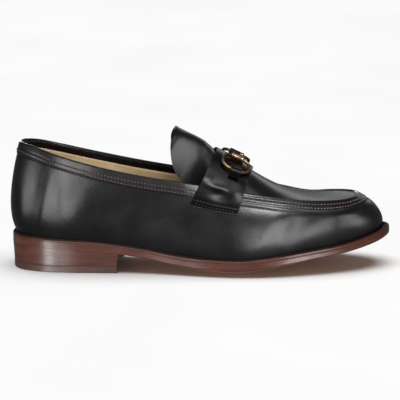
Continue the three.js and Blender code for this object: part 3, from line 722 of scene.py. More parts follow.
def sole_spot(points):
    """How far across the sole the points lie, from -1 to 1."""
    share = share_at("x", points[..., 0])
    left = beside_foot(share / 2, last_at(share / 2)["rim"])[..., 1]
    right = beside_foot(1 - share / 2, last_at(1 - share / 2)["rim"])[..., 1]
    return np.clip((2 * points[..., 1] - left - right) / (right - left + 1e-6), -1, 1)


def sag_at(points):
    return np.maximum(0, along_x("sag", points[..., 0])) * (1 - np.abs(sole_spot(points)) ** FLAT_POWER)


def outsole_top(points):
    return welt_top(points[..., 0]) - WELT - CLEARANCE - sag_at(points)


def outsole_bottom(points):
    return np.maximum(0, welt_top(points[..., 0]) - along_x("edge", points[..., 0]) - sag_at(points))


def sole_sheet(shares, out, height):
    """Points across the sole between its two edges, out millimetres outside the foot line."""
    left = beside_foot(shares / 2, out(shares / 2))
    right = beside_foot(1 - shares / 2, out(1 - shares / 2))
    mix = ((ACROSS + 1) / 2)[None, :, None]
    grid = left[:, None] * (1 - mix) + right[:, None] * mix
    grid[..., 2] = height(grid)
    return grid


def rim(place):
    return last_at(place)["rim"]


print("sole under the ball:", outsole_bottom(np.array([185.0, 0.0, 0.0])).round(2), "mm above the floor")


# %% [markdown]
# The insole is the flat board of leather that the foot stands on, and the sock is the thin tan
# skin glued over it. One sheet shows both, because only its top can be seen, down the collar.

# %% The insole with its sock
SOLE_SHARES, SOCK_RIM = crowded(110), 0.5


def insole_out(place):
    return np.full_like(place, -(WALL + INSOLE_GAP))


def insole_under(points):
    return outsole_top(points) + CLEARANCE


def sock_height(points):
    """The sock rises a little towards its rim."""
    return insole_under(points) + INSOLE + SOCK_RIM * np.abs(sole_spot(points)) ** 6


insole = sheet_piece("insole_sock", sole_sheet(SOLE_SHARES, insole_out, sock_height),
                     sole_sheet(SOLE_SHARES, insole_out, insole_under), [lining_leather])
dress(soften(insole, 0.8), "lining", "insole")

# %% [markdown]
# The outsole's edge is trimmed and burnished, so its corners are round, most of all at the toe.
# It is built from levels, one below the other. Over the heel its corner stays square, because
# heel and sole are sanded there as one face.

# %% The outsole
SEAM_CLOSED, HEEL_COVER = 0.22, 90.0
SOLE_THICK, SOLE_ROUND, LEVEL_SHARES = 5.0, (0.18, 1.1), (0.3, 0.5, 0.7)


def toe_share(place):
    """0 along the sides and the heel, 1 at the toe tip."""
    return soft_step((last_at(place)["x"] - 0.84 * LENGTH) / (0.14 * LENGTH))


def rounded_levels(sheet_at, thick, top_round, bottom_round):
    """Levels down an edge with round corners: sheet_at(inset, share of the way down)."""
    turns = np.linspace(0, np.pi / 2, 5)
    levels = [(top_round * (1 - math.sin(t)), top_round * (1 - math.cos(t)) / thick) for t in turns]
    levels += [(0.0, share) for share in LEVEL_SHARES]
    levels += [(bottom_round * (1 - math.cos(t)), 1 - bottom_round * (1 - math.sin(t)) / thick)
               for t in turns]
    return [sheet_at(inset, share) for inset, share in levels]


def outsole_level(inset, share):
    def edge(place):
        over_heel = soft_step((HEEL_COVER - last_at(place)["x"]) / 6.0)
        return rim(place) - inset * (1 - 0.92 * over_heel + 1.2 * toe_share(place))

    def height(points):
        return (outsole_top(points) + SEAM_CLOSED) * (1 - share) + outsole_bottom(points) * share

    return sole_sheet(SOLE_SHARES, edge, height)


outsole = layered_piece("leather_outsole", rounded_levels(outsole_level, SOLE_THICK, *SOLE_ROUND),
                        [sole_edge, sole_bottom], inside=1)
dress(outsole, "sole_leather", "outsole")

# %% [markdown]
# The welt is the strip that the upper and the outsole are both sewn to. Its top shows round the
# shoe as a narrow shelf with a row of stitches in a groove, and its outer edge is burnished
# together with the edge of the outsole. The shelf is widest at the forepart and almost hidden at
# the waist and the heel.

# %% The welt
WELT_GROOVE = 1.5
EDGE_DROP = np.array([[0, 1.6], [90, 1.5], [140, 0.8], [252, 0.6], [290, -0.6]])


def edge_drop(place):
    """How far the outer edge of the shelf lies below the top of the welt."""
    return np.interp(last_at(place)["x"], *EDGE_DROP.T)


def welt_seam(place):
    """How far outside the foot line the welt's groove and its stitches run."""
    return rim(place) - WELT_GROOVE * (1 + 1.4 * toe_share(place))


def welt_outline(place):
    edge = rim(place)
    inner = -(WALL + WELT_TUCK)

    def corner(out, below):
        point = beside_foot(place, np.broadcast_to(out, place.shape))
        point[:, 2] = welt_top(point[:, 0]) - below
        return point[:, None]

    turn_size = 0.45 + 2.6 * toe_share(place)
    seam = welt_seam(place)
    slope = edge_drop(place)
    outline = [corner(edge - 0.18, WELT), corner(edge, WELT - 0.2),
               corner(edge, (WELT + slope + turn_size) * 0.5)]
    for turn in np.linspace(0, np.pi / 2, 5):
        inset = turn_size * (1 - math.cos(turn))
        outline.append(corner(edge - inset, slope + turn_size * (1 - math.sin(turn))))
    outline += [corner(seam + 0.5, slope * 0.35), corner(seam + 0.2, slope * 0.35 + 0.3),
                corner(seam - 0.2, slope * 0.3 + 0.3), corner(seam - 0.5, slope * 0.2),
                corner(seam - 1.6, 0.0), corner(inner, 0.0), corner(inner, WELT)]
    return np.concatenate(outline, axis=1)


welt_grid = welt_outline(around)
welt_marks = np.zeros(welt_grid.shape[:2], int)
welt_marks[:, 7:13] = 1
# The shelf is near black: partly its dark dressing and partly painted shade of the crease under the upper.
welt_shelf_dye_and_shade = make_finish(
    "welt_top", tones((0.014, 0.0065, 0.0048), (0.034, 0.0135, 0.0095)), (150, 3, EVEN), (0.55, 0.7),
    [("noise", 1500, 0.25, 0.08, EVEN)], Specular_IOR_Level=0.25)
welt = loop_piece("welt", welt_grid, [sole_edge, welt_shelf_dye_and_shade], welt_marks.ravel())
dress(welt, "sole_leather", "welt")

# %% [markdown]
# A stacked heel is made of leather layers that are pressed, sanded and burnished, so that faint
# lines run round it. Under the stack lies the top lift, which takes the wear. The breast, its
# front face, is slightly hollow.

# %% The heel
HEEL_LIFT, BREAST_LAT, BREAST_MED, BREAST_HOLLOW = 5.5, 85.8, 90.5, 5.0
HEEL_TAPER, HEEL_INSET, HEEL_LAYERS, LAYER_STEPS, LAYER_GROOVE = 1.1, 0.05, 4, 6, 0.06


def heel_outline(inset, height):
    """One level of the heel: a grid from its round back to its hollow breast."""
    mix = (ACROSS + 1) / 2
    corner = BREAST_LAT + (BREAST_MED - BREAST_LAT) * mix
    breast = share_at("x", corner - BREAST_HOLLOW * (1 - ACROSS ** 2) - inset)
    share = breast[None, :] * (1 - np.cos(np.pi / 2 * np.linspace(0, 1, 45)))[:, None]
    left = beside_foot(share / 2, rim(share / 2) - inset)
    right = beside_foot(1 - share / 2, rim(1 - share / 2) - inset)
    grid = left * (1 - mix)[None, :, None] + right * mix[None, :, None]
    grid[..., 2] = height(grid)
    return grid


def stack_levels():
    """Outlines down the stack, with a fine groove between its layers."""
    levels = []
    steps = HEEL_LAYERS * LAYER_STEPS
    for step in range(steps + 1):
        share = step / steps
        groove = LAYER_GROOVE if step % LAYER_STEPS == 0 and 0 < step < steps else 0.0
        inset = HEEL_INSET + (HEEL_TAPER - HEEL_INSET) * share + groove

        def height(points):
            top = outsole_bottom(points) - CLEARANCE + SEAM_CLOSED
            return top * (1 - share) + (HEEL_LIFT + SEAM_CLOSED) * share

        levels.append(heel_outline(inset, height))
    return levels


dress(layered_piece("heel_stack_leather", stack_levels(), [sole_edge]), "sole_leather", "heel_stack")


def lift_level(inset, share):
    def height(points):
        return np.full(points.shape[:2], HEEL_LIFT * (1 - share))

    return heel_outline(HEEL_TAPER - HEEL_INSET + inset, height)


heel_lift = layered_piece("heel_top_lift_rubber", rounded_levels(lift_level, HEEL_LIFT, 0.15, 0.6),
                          [lift_edge, lift_rubber], inside=1)
dress(heel_lift, "heel_rubber", "heel_top_lift")

# %% [markdown]
# The apron is the plug that fills the opening over the toes, and it runs back under the strap into
# the free tongue. Both are one arched sheet: each section has a lateral edge, a medial edge and a
# ridge, and an arch joins them. The plug lies a step below the edge of the wall, which gives the
# dark line round it. The tongue is lined, has a cut edge and is stitched along it.

# %% The apron and the tongue
TONGUE_ROWS = np.array([
    [51.2, 97.2, 49.5, 27.6, 67.6],
    [49.7, 100.2, 47.0, 27.0, 68.4],
    [48.3, 102.9, 45.2, 26.9, 72.0],
    [47.0, 105.2, 43.7, 26.8, 78.5],
    [45.9, 107.2, 42.7, 25.6, 86.0],
    [45.0, 108.7, 42.3, 22.8, 93.5],
    [44.3, 109.9, 42.3, 17.6, 101.0],
    [43.9, 110.7, 42.9, 10.0, 107.0],
    [43.7, 111.0, 43.5, 2.9, 110.4],
])
ARCH_POWER, STRAP_OVERLAP = 2.2, 5.0
throat_share = float(share_at("top_x", STRAP_REAR - STRAP_OVERLAP))


def plug_edge(place, depth):
    """The plug's edge beside the top of the wall, some millimetres under its face."""
    rise, normal = wall_directions(place, np.ones_like(place))
    return plain_wall(place, 1.0) + rise * PLUG_GAP - normal * depth


def plug_sections(shares, depth):
    """Lateral edge, medial edge and ridge of sections across the plug."""
    left, right = plug_edge(shares / 2, depth), plug_edge(1 - shares / 2, depth)
    ridge = (left + right) / 2
    height = last_at(shares / 2)["ridge"] - (depth - PLUG_DROP)
    ridge[..., 2] = np.where(shares < 1, height, ridge[..., 2])
    return np.stack([left, right, ridge], axis=1)


def tongue_sections(depth):
    """The same for the free tongue, from under the strap to its tip."""
    ridge_x, ridge_z, edge_x, half, edge_z = (TONGUE_ROWS / 100).T * np.array(
        [[LENGTH], [BACK_HEIGHT], [LENGTH], [BALL_WIDTH], [BACK_HEIGHT]])
    half = np.maximum(0.4, half - depth)
    left, right = np.stack([edge_x, -half, edge_z], 1), np.stack([edge_x, half, edge_z], 1)
    ridge = np.stack([ridge_x, 0 * ridge_x, ridge_z], 1) - depth * np.array([0.45, 0, 0.9])
    return np.stack([left, right, ridge], axis=1)


def smooth_rows(rows, count):
    """Sections at even distances along the apron and the tongue."""
    flat = rows.reshape(len(rows), -1)
    reach = np.linalg.norm(np.diff(rows, axis=0), axis=-1).mean(axis=-1)
    knots = np.concatenate([[0], np.cumsum(reach)])
    at = knots[-1] * np.arange(count) / (count - 1)
    return open_curve(knots, flat, at).reshape(count, 3, 3)


def arch(sections, across):
    """An arch over each section: from its left edge over its ridge to its right edge."""
    left, right, ridge = sections[:, None, 0], sections[:, None, 1], sections[:, None, 2]
    mix = ((across + 1) / 2)[None, :, None]
    bow = (1 - np.abs(across) ** ARCH_POWER)[None, :, None]
    return left * (1 - mix) + right * mix + (ridge - (left + right) / 2) * bow


PLUG_ROWS, TOE_CROWDING, APRON_ROW_COUNT, SIDE_CROWDING = 24, 1.7, 170, np.pi / 2 * 0.92


def apron_sections(depth):
    left = (np.arange(PLUG_ROWS)[::-1] / (PLUG_ROWS - 1)) ** TOE_CROWDING
    plug = plug_sections(throat_share + (1 - throat_share) * (1 - left), PLUG_DROP + depth)
    return smooth_rows(np.concatenate([tongue_sections(depth)[::-1], plug]), APRON_ROW_COUNT)


apron_across = np.sin(SIDE_CROWDING * np.linspace(-1, 1, 61)) / math.sin(SIDE_CROWDING)
apron_top = arch(apron_sections(0.0), apron_across)
apron_under = arch(apron_sections(PLUG_WALL), apron_across)
# Behind the strap the tongue stands a little fuller, as leather does where it is held down.
FULL_HEIGHT, FULL_HALF, FULL_FROM, FULL_TO = 2.0, 13.0, (132.0, 22.0), (162.4, 5.0)
x, y = apron_top[..., 0], apron_top[..., 1]
rise = FULL_HEIGHT * soft_step((x - FULL_FROM[0]) / FULL_FROM[1]) * soft_step((FULL_TO[0] - x) / FULL_TO[1])
rise = rise * hump(y - y[:, y.shape[1] // 2][:, None], FULL_HALF)
apron_top[..., 2] += rise
apron_under[..., 2] += rise
apron = sheet_piece("apron_and_tongue", apron_top, apron_under, [calf, lining_leather, cut_edge],
                    inside=1, edge=2)

# The tongue's underside is faced with calf at its tip and along its borders.
DARK_ROWS, DARK_BORDER = 30, 5
face_rows, face_columns = apron_top.shape[0] - 1, apron_top.shape[1] - 1
lined = np.zeros((face_rows, face_columns), bool)
lined[DARK_ROWS:, DARK_BORDER:-DARK_BORDER] = True
for face in np.flatnonzero(~lined.ravel()) + face_rows * face_columns:
    apron.data.polygons[int(face)].material_index = 0
dress(soften(apron, *THIN_EDGE), "calf", "apron_tongue")

# %% [markdown]
# The saddle strap lies over the instep from side to side. Its rear edge is swept back at both
# ends, and its ends are sewn to the walls with two rows of stitches. Between the bit and the
# stitches the leather buckles a little, because the arch is pulled tight over the last.

# %% The saddle strap
STRAP_WIDTH, STRAP_WALL, STRAP_GAP = 28.0, 1.5, 0.45
STRAP_HALF, STRAP_ROWS, STRAP_GRID = 57.0, (1.9, 4.6), (28, 150)
STRAP_RIDGE, SEWN_DIP, DEEPEST = 3.2, (0.14, 0.5), -0.75
REAR_SWEEP, FRONT_SWEEP, SWEEP_POWER, REAR_LOW, FRONT_LOW = 20.8, 12.0, 1.4, 0.69, 0.63


def curve_points(controls, shares):
    """Points of smooth curves through control points, each at a share of its length."""
    points, lengths = [], []
    for control, share in zip(controls, shares):
        gaps = np.sqrt(np.linalg.norm(np.diff(control, axis=0), axis=-1))
        knots = np.concatenate([[0], np.cumsum(gaps)])
        line = open_curve(knots, control, np.linspace(0, knots[-1], 161))
        reach = reach_along(line)
        points.append([np.interp(share * reach[-1], reach, line[:, axis]) for axis in range(3)])
        lengths.append(reach[-1])
    return np.array(points), np.array(lengths)


def instep_control(share, low):
    """Points over the instep, from one wall over the plug to the other, one row per share."""
    share, low = share[:, None], low[:, None]
    ups = np.concatenate([low, (low + 1) / 2, np.ones_like(low)], axis=1)
    lateral = wall_point(share / 2, ups, 0.0)
    medial = wall_point(1 - share / 2, ups[:, ::-1], 0.0)
    across = np.array([-0.6, -0.3, 0, 0.3, 0.6])
    over = arch(plug_sections(share[:, 0], PLUG_DROP), across)
    lean = unit(np.stack([0 * across, across, 1 + 0 * across], 1))
    return np.concatenate([lateral, over + lean * PLUG_DROP, medial], axis=1)


def strap_curves(along, side):
    """Control points of the curves over the instep, swept back towards both ends of the strap."""
    sweep = np.abs(side) ** SWEEP_POWER
    rear = STRAP_REAR - REAR_SWEEP * sweep
    front = STRAP_REAR + STRAP_WIDTH - FRONT_SWEEP * sweep
    share = share_at("top_x", rear + (front - rear) * along)
    return instep_control(share, REAR_LOW + (FRONT_LOW - REAR_LOW) * along)


def strap_points(along, side):
    """Points under the strap: along from its rear edge to its front edge, side from -1 to 1."""
    along, side = np.broadcast_arrays(np.asarray(along, float), np.asarray(side, float))
    flat_along, flat_side = along.ravel(), side.ravel()
    points = curve_points(strap_curves(flat_along, flat_side), (flat_side + 1) / 2)[0]
    return points.reshape(*along.shape, 3)


# Soft buckles of the strap, as shares along it and across it: place, size and depth in millimetres
BUCKLES = np.array([
    [0.08, -0.64, 0.16, 0.08, 0.60],
    [0.38, -0.70, 0.24, 0.040, 0.40],
    [0.52, -0.79, 0.22, 0.065, -0.75],
    [0.84, -0.68, 0.15, 0.13, 0.75],
    [0.95, -0.50, 0.14, 0.06, -0.40],
    [0.25, 0.64, 0.18, 0.08, -0.60],
    [0.70, 0.68, 0.20, 0.09, 0.55],
])


def strap_relief(along, side):
    """Buckles, and near each end the two sewn lines with the ridge between them."""
    total = np.zeros_like(along)
    for a, s, long, wide, depth in BUCKLES:
        total += depth * hump(along - a, long) * hump(side - s, wide)
    end = (1 - np.abs(side)) * STRAP_HALF
    for row in STRAP_ROWS:
        total -= SEWN_DIP[0] * hump(end - row, SEWN_DIP[1])
    return total + 0.125 * hump(end - STRAP_RIDGE, 1.0)


along, side = np.meshgrid(np.arange(STRAP_GRID[0] + 1) / STRAP_GRID[0],
                          -1 + 2 * np.arange(STRAP_GRID[1] + 1) / STRAP_GRID[1], indexing="ij")
base = strap_points(along, side)
strap_normals = grid_normals(base)
puff = np.maximum(strap_relief(along, side), DEEPEST)[..., None]
strap_top = base + strap_normals * (STRAP_GAP + STRAP_WALL + puff)
strap_under = base + strap_normals * (STRAP_GAP + np.clip(puff, -0.1, 1.0))
# Its cut edges take the grey edge finish with the painted highlight.
strap = sheet_piece("saddle_strap_calf", strap_top, strap_under, [calf, calf, waxed_edge_painted_highlight], edge=2)
dress(soften(strap, *THIN_EDGE), "calf", "saddle_strap")

# %% [markdown]
# The bit is a plain snaffle in antique brass: two oblong rings, a sleeve round the inner side of
# each, and a short bar over the ridge. Each ring is held by a leather tab, and the bar by a small
# keeper, so the bit lies flat but can rock a little. Each part is turned or swept from a small
# section, placed in a frame that lies on the strap.

# %% Frames on the strap
BIT = {"width": 22, "height": 17, "squareness": 3, "wire": 1.2, "lift": 1.9, "rear": 16, "ridge": 14.8}
SLEEVE = {"length": 10, "hole": 1.75, "radius": 2.3, "offset": 0.12}
BAR = {"length": 11, "radius": 1.25, "lift": 2, "ridge": -2.5}
TAB = {"width": 8.2, "wall": 1.3, "span": 11, "rise": 6.4, "rear": 17.6, "ridge": 23.6}
KEEPER = {"width": 8.7, "wall": 1.3, "span": 5, "rise": 4.6, "rear": 12.3, "ridge": 3.1}


def strap_frame(rear, ridge, lift):
    """Origin and axes on the strap's face: x to the toe, y to the medial side, z outward."""
    along = rear / STRAP_WIDTH
    girth = curve_points(strap_curves(np.array([along]), np.zeros(1)), np.zeros(1))[1][0]
    side = ridge / (girth / 2)
    step = 0.01
    middle, front, back, left, right = strap_points(
        along + step * np.array([0, 1, -1, 0, 0]), side + step * np.array([0, 0, 0, -1, 1]))
    x = unit(front - back)
    z = unit(np.cross(x, right - left))
    y = np.cross(z, x)
    origin = middle + z * (STRAP_GAP + STRAP_WALL + lift)
    return origin, np.stack([x, y, z])


def placed(points, place):
    origin, axes = place
    return origin + np.asarray(points) @ axes


print("the bit lies at", strap_frame(BIT["rear"], 0.0, BIT["lift"])[0].round(1))

# %% [markdown]
# A ring is cast as a flat band with a groove along its face. Both the ring and its section are
# squarish ovals, made from a circle by raising its sine and cosine to a power. The sleeve and the
# bar are turned round an axis, which gives them their collars and rounded ends.

# %% The rings, sleeves and bar
BAND_SQUARENESS, BAND_LOW, GROOVE = 0.62, 0.92, (0.28, 0.34)


def squarish(angle, power):
    """A circle's x and y, pushed out into its corners."""
    return [np.sign(v) * np.abs(v) ** power for v in (np.cos(angle), np.sin(angle))]


def ring_path(turn):
    x, y = squarish(2 * np.pi * turn, 2 / BIT["squareness"])
    return np.stack([BIT["width"] / 2 * x, BIT["height"] / 2 * y, 0 * turn], -1)


def ring_piece(name, sign, finish):
    """A flat band with a groove along its face, bent into the oblong ring."""
    turn = np.arange(160) / 160
    centre = ring_path(turn)
    ahead, behind = ring_path(turn + 0.002), ring_path(turn - 0.002)
    out = unit(np.cross(ahead - behind, np.array([0, 0, 1.0])))
    angle = 2 * np.pi * np.arange(28) / 28
    wide, high = (BIT["wire"] * v for v in squarish(angle, BAND_SQUARENESS))
    high = high * BAND_LOW - GROOVE[0] * hump(wide, GROOVE[1]) * (np.sin(angle) > 0)
    grid = (centre[:, None] + out[:, None] * wide[None, :, None]
            + np.array([0, 0, 1.0]) * high[None, :, None])
    place = strap_frame(BIT["rear"], sign * BIT["ridge"], BIT["lift"])
    return loop_piece(name, placed(grid, place), [finish])


def turned_piece(name, profile, place, finish, steps=40):
    """A piece turned round the x axis of its frame, from (x, radius) pairs that form a closed outline."""
    angle = 2 * np.pi * np.arange(steps) / steps
    x, r = np.array(profile, float).T
    across, up = np.cos(angle)[:, None] * r, np.sin(angle)[:, None] * r
    grid = np.stack([np.broadcast_to(x, across.shape), across, up], -1)
    return loop_piece(name, placed(grid, place), [finish])


def sleeve_piece(name, sign, finish):
    origin, axes = strap_frame(BIT["rear"], sign * BIT["ridge"], BIT["lift"])
    origin = origin - sign * (BIT["height"] / 2 - SLEEVE["offset"]) * axes[1]
    half, outer, hole = SLEEVE["length"] / 2, SLEEVE["radius"], SLEEVE["hole"]
    profile = [(-half, hole), (-half, outer - 0.35), (-half + 0.2, outer - 0.08), (-half + 0.6, outer),
               (-half + 1.2, outer), (-half + 1.5, outer - 0.22), (-half + 1.8, outer - 0.22)]
    profile += [(x, outer - 0.22 + 0.14 * (1 - (x / 3.2) ** 2)) for x in (-2.4, -1.2, 0.0, 1.2, 2.4)]
    profile += [(-x, r) for x, r in profile[6::-1]]
    return turned_piece(name, profile, (origin, axes), finish)


def bar_piece(name, finish):
    half, radius = BAR["length"] / 2, BAR["radius"]
    end = [(half - radius * 0.6 * (1 - math.cos(a)), radius * max(0.02, math.sin(a)))
           for a in np.linspace(0.0, math.pi / 2, 7)]
    place = strap_frame(BIT["rear"], BAR["ridge"], BAR["lift"])
    return turned_piece(name, [(-x, r) for x, r in end] + end[::-1], place, finish, 28)


# The medial ring and sleeve take the darker brass, which paints their shade on the far side.
BIT_SIDES = (("lateral", -1, antique_brass, worn_copper), ("medial", 1, brass_painted_shade, brass_painted_shade))
for side_name, sign, ring_finish, sleeve_finish in BIT_SIDES:
    ring = ring_piece(f"bit_ring_{side_name}_brass", sign, ring_finish)
    dress(ring, "antique_brass", "bit_ring_" + side_name)
for side_name, sign, ring_finish, sleeve_finish in BIT_SIDES:
    sleeve = sleeve_piece(f"bit_sleeve_{side_name}_brass", sign, sleeve_finish)
    dress(sleeve, "antique_brass", "bit_sleeve_" + side_name)
dress(bar_piece("bit_bar_brass", brass_painted_shade), "antique_brass", "bit_bar")

# %% [markdown]
# Each ring is held by a narrow strip of leather that goes over it and down into the strap, and
# the bar by a shorter one. From above they read as small dark bars across the brass.

# %% The leather tabs and the keeper
def leather_arch(name, size, sign):
    """A band bent over what it holds: half an oval ring."""
    angle = np.linspace(0, np.pi, 33)
    outer = np.stack([np.cos(angle) * size["span"] / 2, np.sin(angle) * size["rise"]], -1)
    inner = np.stack([np.cos(angle) * (size["span"] / 2 - size["wall"]),
                      np.sin(angle) * (size["rise"] - size["wall"])], -1)
    across = np.linspace(-0.5, 0.5, 9) * size["width"]

    def face(line, crown):
        lift = crown * (1 - (2 * across / size["width"]) ** 2)
        rows = [np.stack([np.full(len(line), w), line[:, 0], line[:, 1] + c * np.sin(angle)], -1)
                for w, c in zip(across, lift)]
        return np.array(rows)[:, ::-1]

    place = strap_frame(size["rear"], sign * size["ridge"], CLEARANCE)
    piece = sheet_piece(name, placed(face(outer, 0.0), place), placed(face(inner, 0.0), place),
                        [calf, calf, cut_edge], edge=2)
    return soften(piece, 0.3, 2, 50)


for node, size, sign in (("bit_tab_lateral", TAB, -1), ("bit_tab_medial", TAB, 1), ("bit_keeper", KEEPER, 1)):
    dress(leather_arch(node + "_calf", size, sign), "calf", node)

# %% [markdown]
# Stitches are what the eye reads as made by hand. A row of bumps in a material would slide on the
# curved edges, so each stitch is a short bent capsule of waxed thread that dips into the leather
# at both ends. One small shape is copied along each row at a fixed pitch, and all the rows of a
# seam make one piece.

# %% One stitch and rows of stitches
STITCH_SIDES, STITCH_STEPS, HOLE_SIDES, HOLE_HALF = 6, 6, 8, 0.46


def stitch_shape(length, radius):
    """Points and faces of one stitch: x along the seam, z out of the leather."""
    t = np.linspace(-1, 1, STITCH_STEPS + 1)
    angle = 2 * np.pi * np.arange(STITCH_SIDES) / STITCH_SIDES
    thick = radius * np.sqrt(1 - (0.86 * t) ** 2)
    bend = radius * 1.1 * (1 - t ** 2) - radius * 0.75
    points = np.stack([np.repeat(t * length / 2, STITCH_SIDES),
                       (thick[:, None] * np.cos(angle)).ravel(),
                       (bend[:, None] + thick[:, None] * np.sin(angle)).ravel()], -1)
    faces = []
    for ring in range(STITCH_STEPS):
        for side in range(STITCH_SIDES):
            a, b = ring * STITCH_SIDES + side, ring * STITCH_SIDES + (side + 1) % STITCH_SIDES
            faces.append([a, b, b + STITCH_SIDES, a + STITCH_SIDES][::-1])
    faces.append(list(range(STITCH_SIDES)))
    faces.append([STITCH_STEPS * STITCH_SIDES + side for side in range(STITCH_SIDES)][::-1])
    return points, faces


def evenly(line, normals, pitch):
    """Middles, directions and normals of stitches at one pitch along a line."""
    reach = reach_along(line)
    count = max(2, int(reach[-1] / pitch))
    at = (np.arange(count) + 0.5) * reach[-1] / count

    def spot(values, where):
        return np.stack([np.interp(where, reach, values[:, axis]) for axis in range(3)], -1)

    tangent = unit(spot(line, at + 0.3) - spot(line, at - 0.3))
    side = unit(np.cross(spot(normals, at), tangent))
    return spot(line, at), tangent, side, np.cross(tangent, side)


def hole_shade_dome(pitch, radius):
    """Points and faces of a needle hole: a low dark dome halfway to the next stitch, which is painted shade
    for the inside of the hole.
    """
    angle = 2 * np.pi * np.arange(HOLE_SIDES) / HOLE_SIDES
    low = np.stack([HOLE_HALF * np.cos(angle), radius * 1.05 * np.sin(angle), 0 * angle - 0.12], -1)
    points = np.concatenate([low, low * [0.6, 0.6, 0] + [0, 0, 0.02], [[0, 0, 0.03], [0, 0, -0.2]]])
    top, under = 2 * HOLE_SIDES, 2 * HOLE_SIDES + 1
    faces = []
    for k in range(HOLE_SIDES):
        n = (k + 1) % HOLE_SIDES
        inner, inner_next = HOLE_SIDES + k, HOLE_SIDES + n
        faces += [[k, n, inner_next, inner], [inner, inner_next, top], [n, k, under]]
    return points + [pitch / 2, 0, 0], faces


def stitched(name, rows, size, finish, slot, hole_shade_finish=needle_hole_painted_shade):
    """One piece of thread and dark domes of painted hole shade from rows of (line, normals). Size: pitch,
    length, radius.
    """
    pitch, length, radius = size
    shape, shape_faces = stitch_shape(length, radius)
    hole, hole_faces = hole_shade_dome(pitch, radius)
    shape_faces = shape_faces + [[len(shape) + k for k in face] for face in hole_faces]
    marks = [0] * (len(shape_faces) - len(hole_faces)) + [1] * len(hole_faces)
    shape = np.concatenate([shape, hole])
    points, faces = [], []
    for line, normals in rows:
        middle, tangent, side, out = evenly(line, normals, pitch)
        for m, t, s, o in zip(middle, tangent, side, out):
            start = len(points) * len(shape)
            points.append(m + shape @ np.array([t, s, o]))
            faces += [[start + k for k in face] for face in shape_faces]
    print(name, len(points), "stitches")
    dress(make_piece(name, np.concatenate(points), faces, [finish, hole_shade_finish], marks * len(points)), slot)


def wall_row(place, down, out=0.0, inside=False):
    """A row on the wall, some millimetres below its top edge."""
    up = 1 - down / wall_height(place)
    face = out + (0 if inside else relief(place, up)) + np.zeros(place.shape)
    normal = wall_directions(place, up)[1]
    return wall_point(place, up, face), -normal if inside else normal


def places_between(first_x, last_x, sign, count=200):
    """Places whose top edge runs from one x to another, on the lateral (-1) or medial (1) side."""
    share = np.linspace(float(share_at("top_x", first_x)), float(share_at("top_x", last_x)), count)
    return share / 2 if sign < 0 else 1 - share / 2


print("faces of one stitch:", len(stitch_shape(2.0, 0.4)[1]))


# %% [markdown]
# Two rows run along the collar band down to the strap and are closed by the short seams of the
# back tab. Two more run round the apron, and one fine row holds the collar's inner facing.

# %% The seams of the upper
TAB_X, TAB_ROW, INNER_START_X, COLLAR_END_X, APRON_START_X = 23.5, 7.6, 6.0, 153.0, 174.0
SEAM, INNER_SEAM = (2.6, 1.95, 0.42), (2.3, 1.8, 0.24)
collar_seams = []
for sign in (-1, 1):
    along = places_between(TAB_X, COLLAR_END_X, sign)
    collar_seams += [wall_row(along, row) for row in COLLAR_ROWS]
    ends = places_between(TAB_X - 1.5, TAB_X - 0.5, sign, 12)
    collar_seams.append(wall_row(ends, np.linspace(TAB_ROW, COLLAR_ROWS[1], 12)))
tab_half = float(share_at("top_x", TAB_X - 1.5)) / 2
collar_seams.append(wall_row(np.linspace(-tab_half, tab_half, 60), TAB_ROW))
stitched("collar_stitches", collar_seams, SEAM, collar_thread, "calf")

apron_start = float(share_at("top_x", APRON_START_X)) / 2
apron_places = np.linspace(apron_start, 1 - apron_start, 500)
stitched("apron_stitches", [wall_row(apron_places, row) for row in APRON_ROWS], SEAM, thread, "calf")

inner_seams = [wall_row(places_between(INNER_START_X, COLLAR_END_X, sign), 2.0, -WALL, inside=True)
               for sign in (-1, 1)]
stitched("collar_inner_stitches", inner_seams, INNER_SEAM, thread, "calf")

# %% [markdown]
# The tongue's row follows its cut edge, so its distance is measured along the sheet itself. The
# strap's rows cross its ends. The welt's stitches are coarser and lie in the groove from one side
# of the heel breast round the toe to the other. The lining's rows are pale and fine.

# %% The seams of the tongue, the strap, the welt and the lining
TONGUE_INSET, EDGE_ROWS, WELT_PLACES, WELT_START_X, LINING_SEAM_END = 2.2, 24, 700, 84.0, 34.0
TONGUE_SEAM, WELT_SEAM, LINING_SEAM = (2.5, 1.85, 0.36), (3.0, 2.4, 0.34), (2.3, 1.8, 0.22)


def row_inside(grid, normals, inset, skip):
    """A line some millimetres inside the first row of a sheet, measured along the sheet."""
    line, out = [], []
    for column in range(skip, grid.shape[1] - skip):
        row = np.interp(inset, reach_along(grid[:EDGE_ROWS, column]), np.arange(EDGE_ROWS))
        low, mix = int(row), row - int(row)
        line.append(grid[low, column] * (1 - mix) + grid[low + 1, column] * mix)
        out.append(normals[low + 1, column])
    return np.array(line), np.array(out)


tongue_row = row_inside(apron_top, grid_normals(apron_top), TONGUE_INSET, 4)
stitched("tongue_stitches", [tongue_row], TONGUE_SEAM, thread, "calf")


def strap_row(end, sign):
    """A row across the strap, some millimetres from its end."""
    column = (1 + sign * (1 - end / STRAP_HALF)) / 2 * STRAP_GRID[1]
    low, mix = int(column), column - int(column)
    return [grid[2:-2, low] * (1 - mix) + grid[2:-2, low + 1] * mix
            for grid in (strap_top, grid_normals(strap_top))]


strap_seams = [strap_row(end, sign) for sign in (-1, 1) for end in STRAP_ROWS]
stitched("strap_stitches", strap_seams, SEAM, thread, "calf")

breast = float(share_at("x", WELT_START_X)) / 2
welt_places = np.linspace(breast, 1 - breast, WELT_PLACES)
welt_line = beside_foot(welt_places, welt_seam(welt_places))
welt_line[:, 2] = welt_top(welt_line[:, 0]) - edge_drop(welt_places) * 0.33 - 0.12
upright = np.tile([0.0, 0.0, 1.0], (WELT_PLACES, 1))
stitched("welt_stitches", [(welt_line, upright)], WELT_SEAM, welt_thread, "sole_leather")

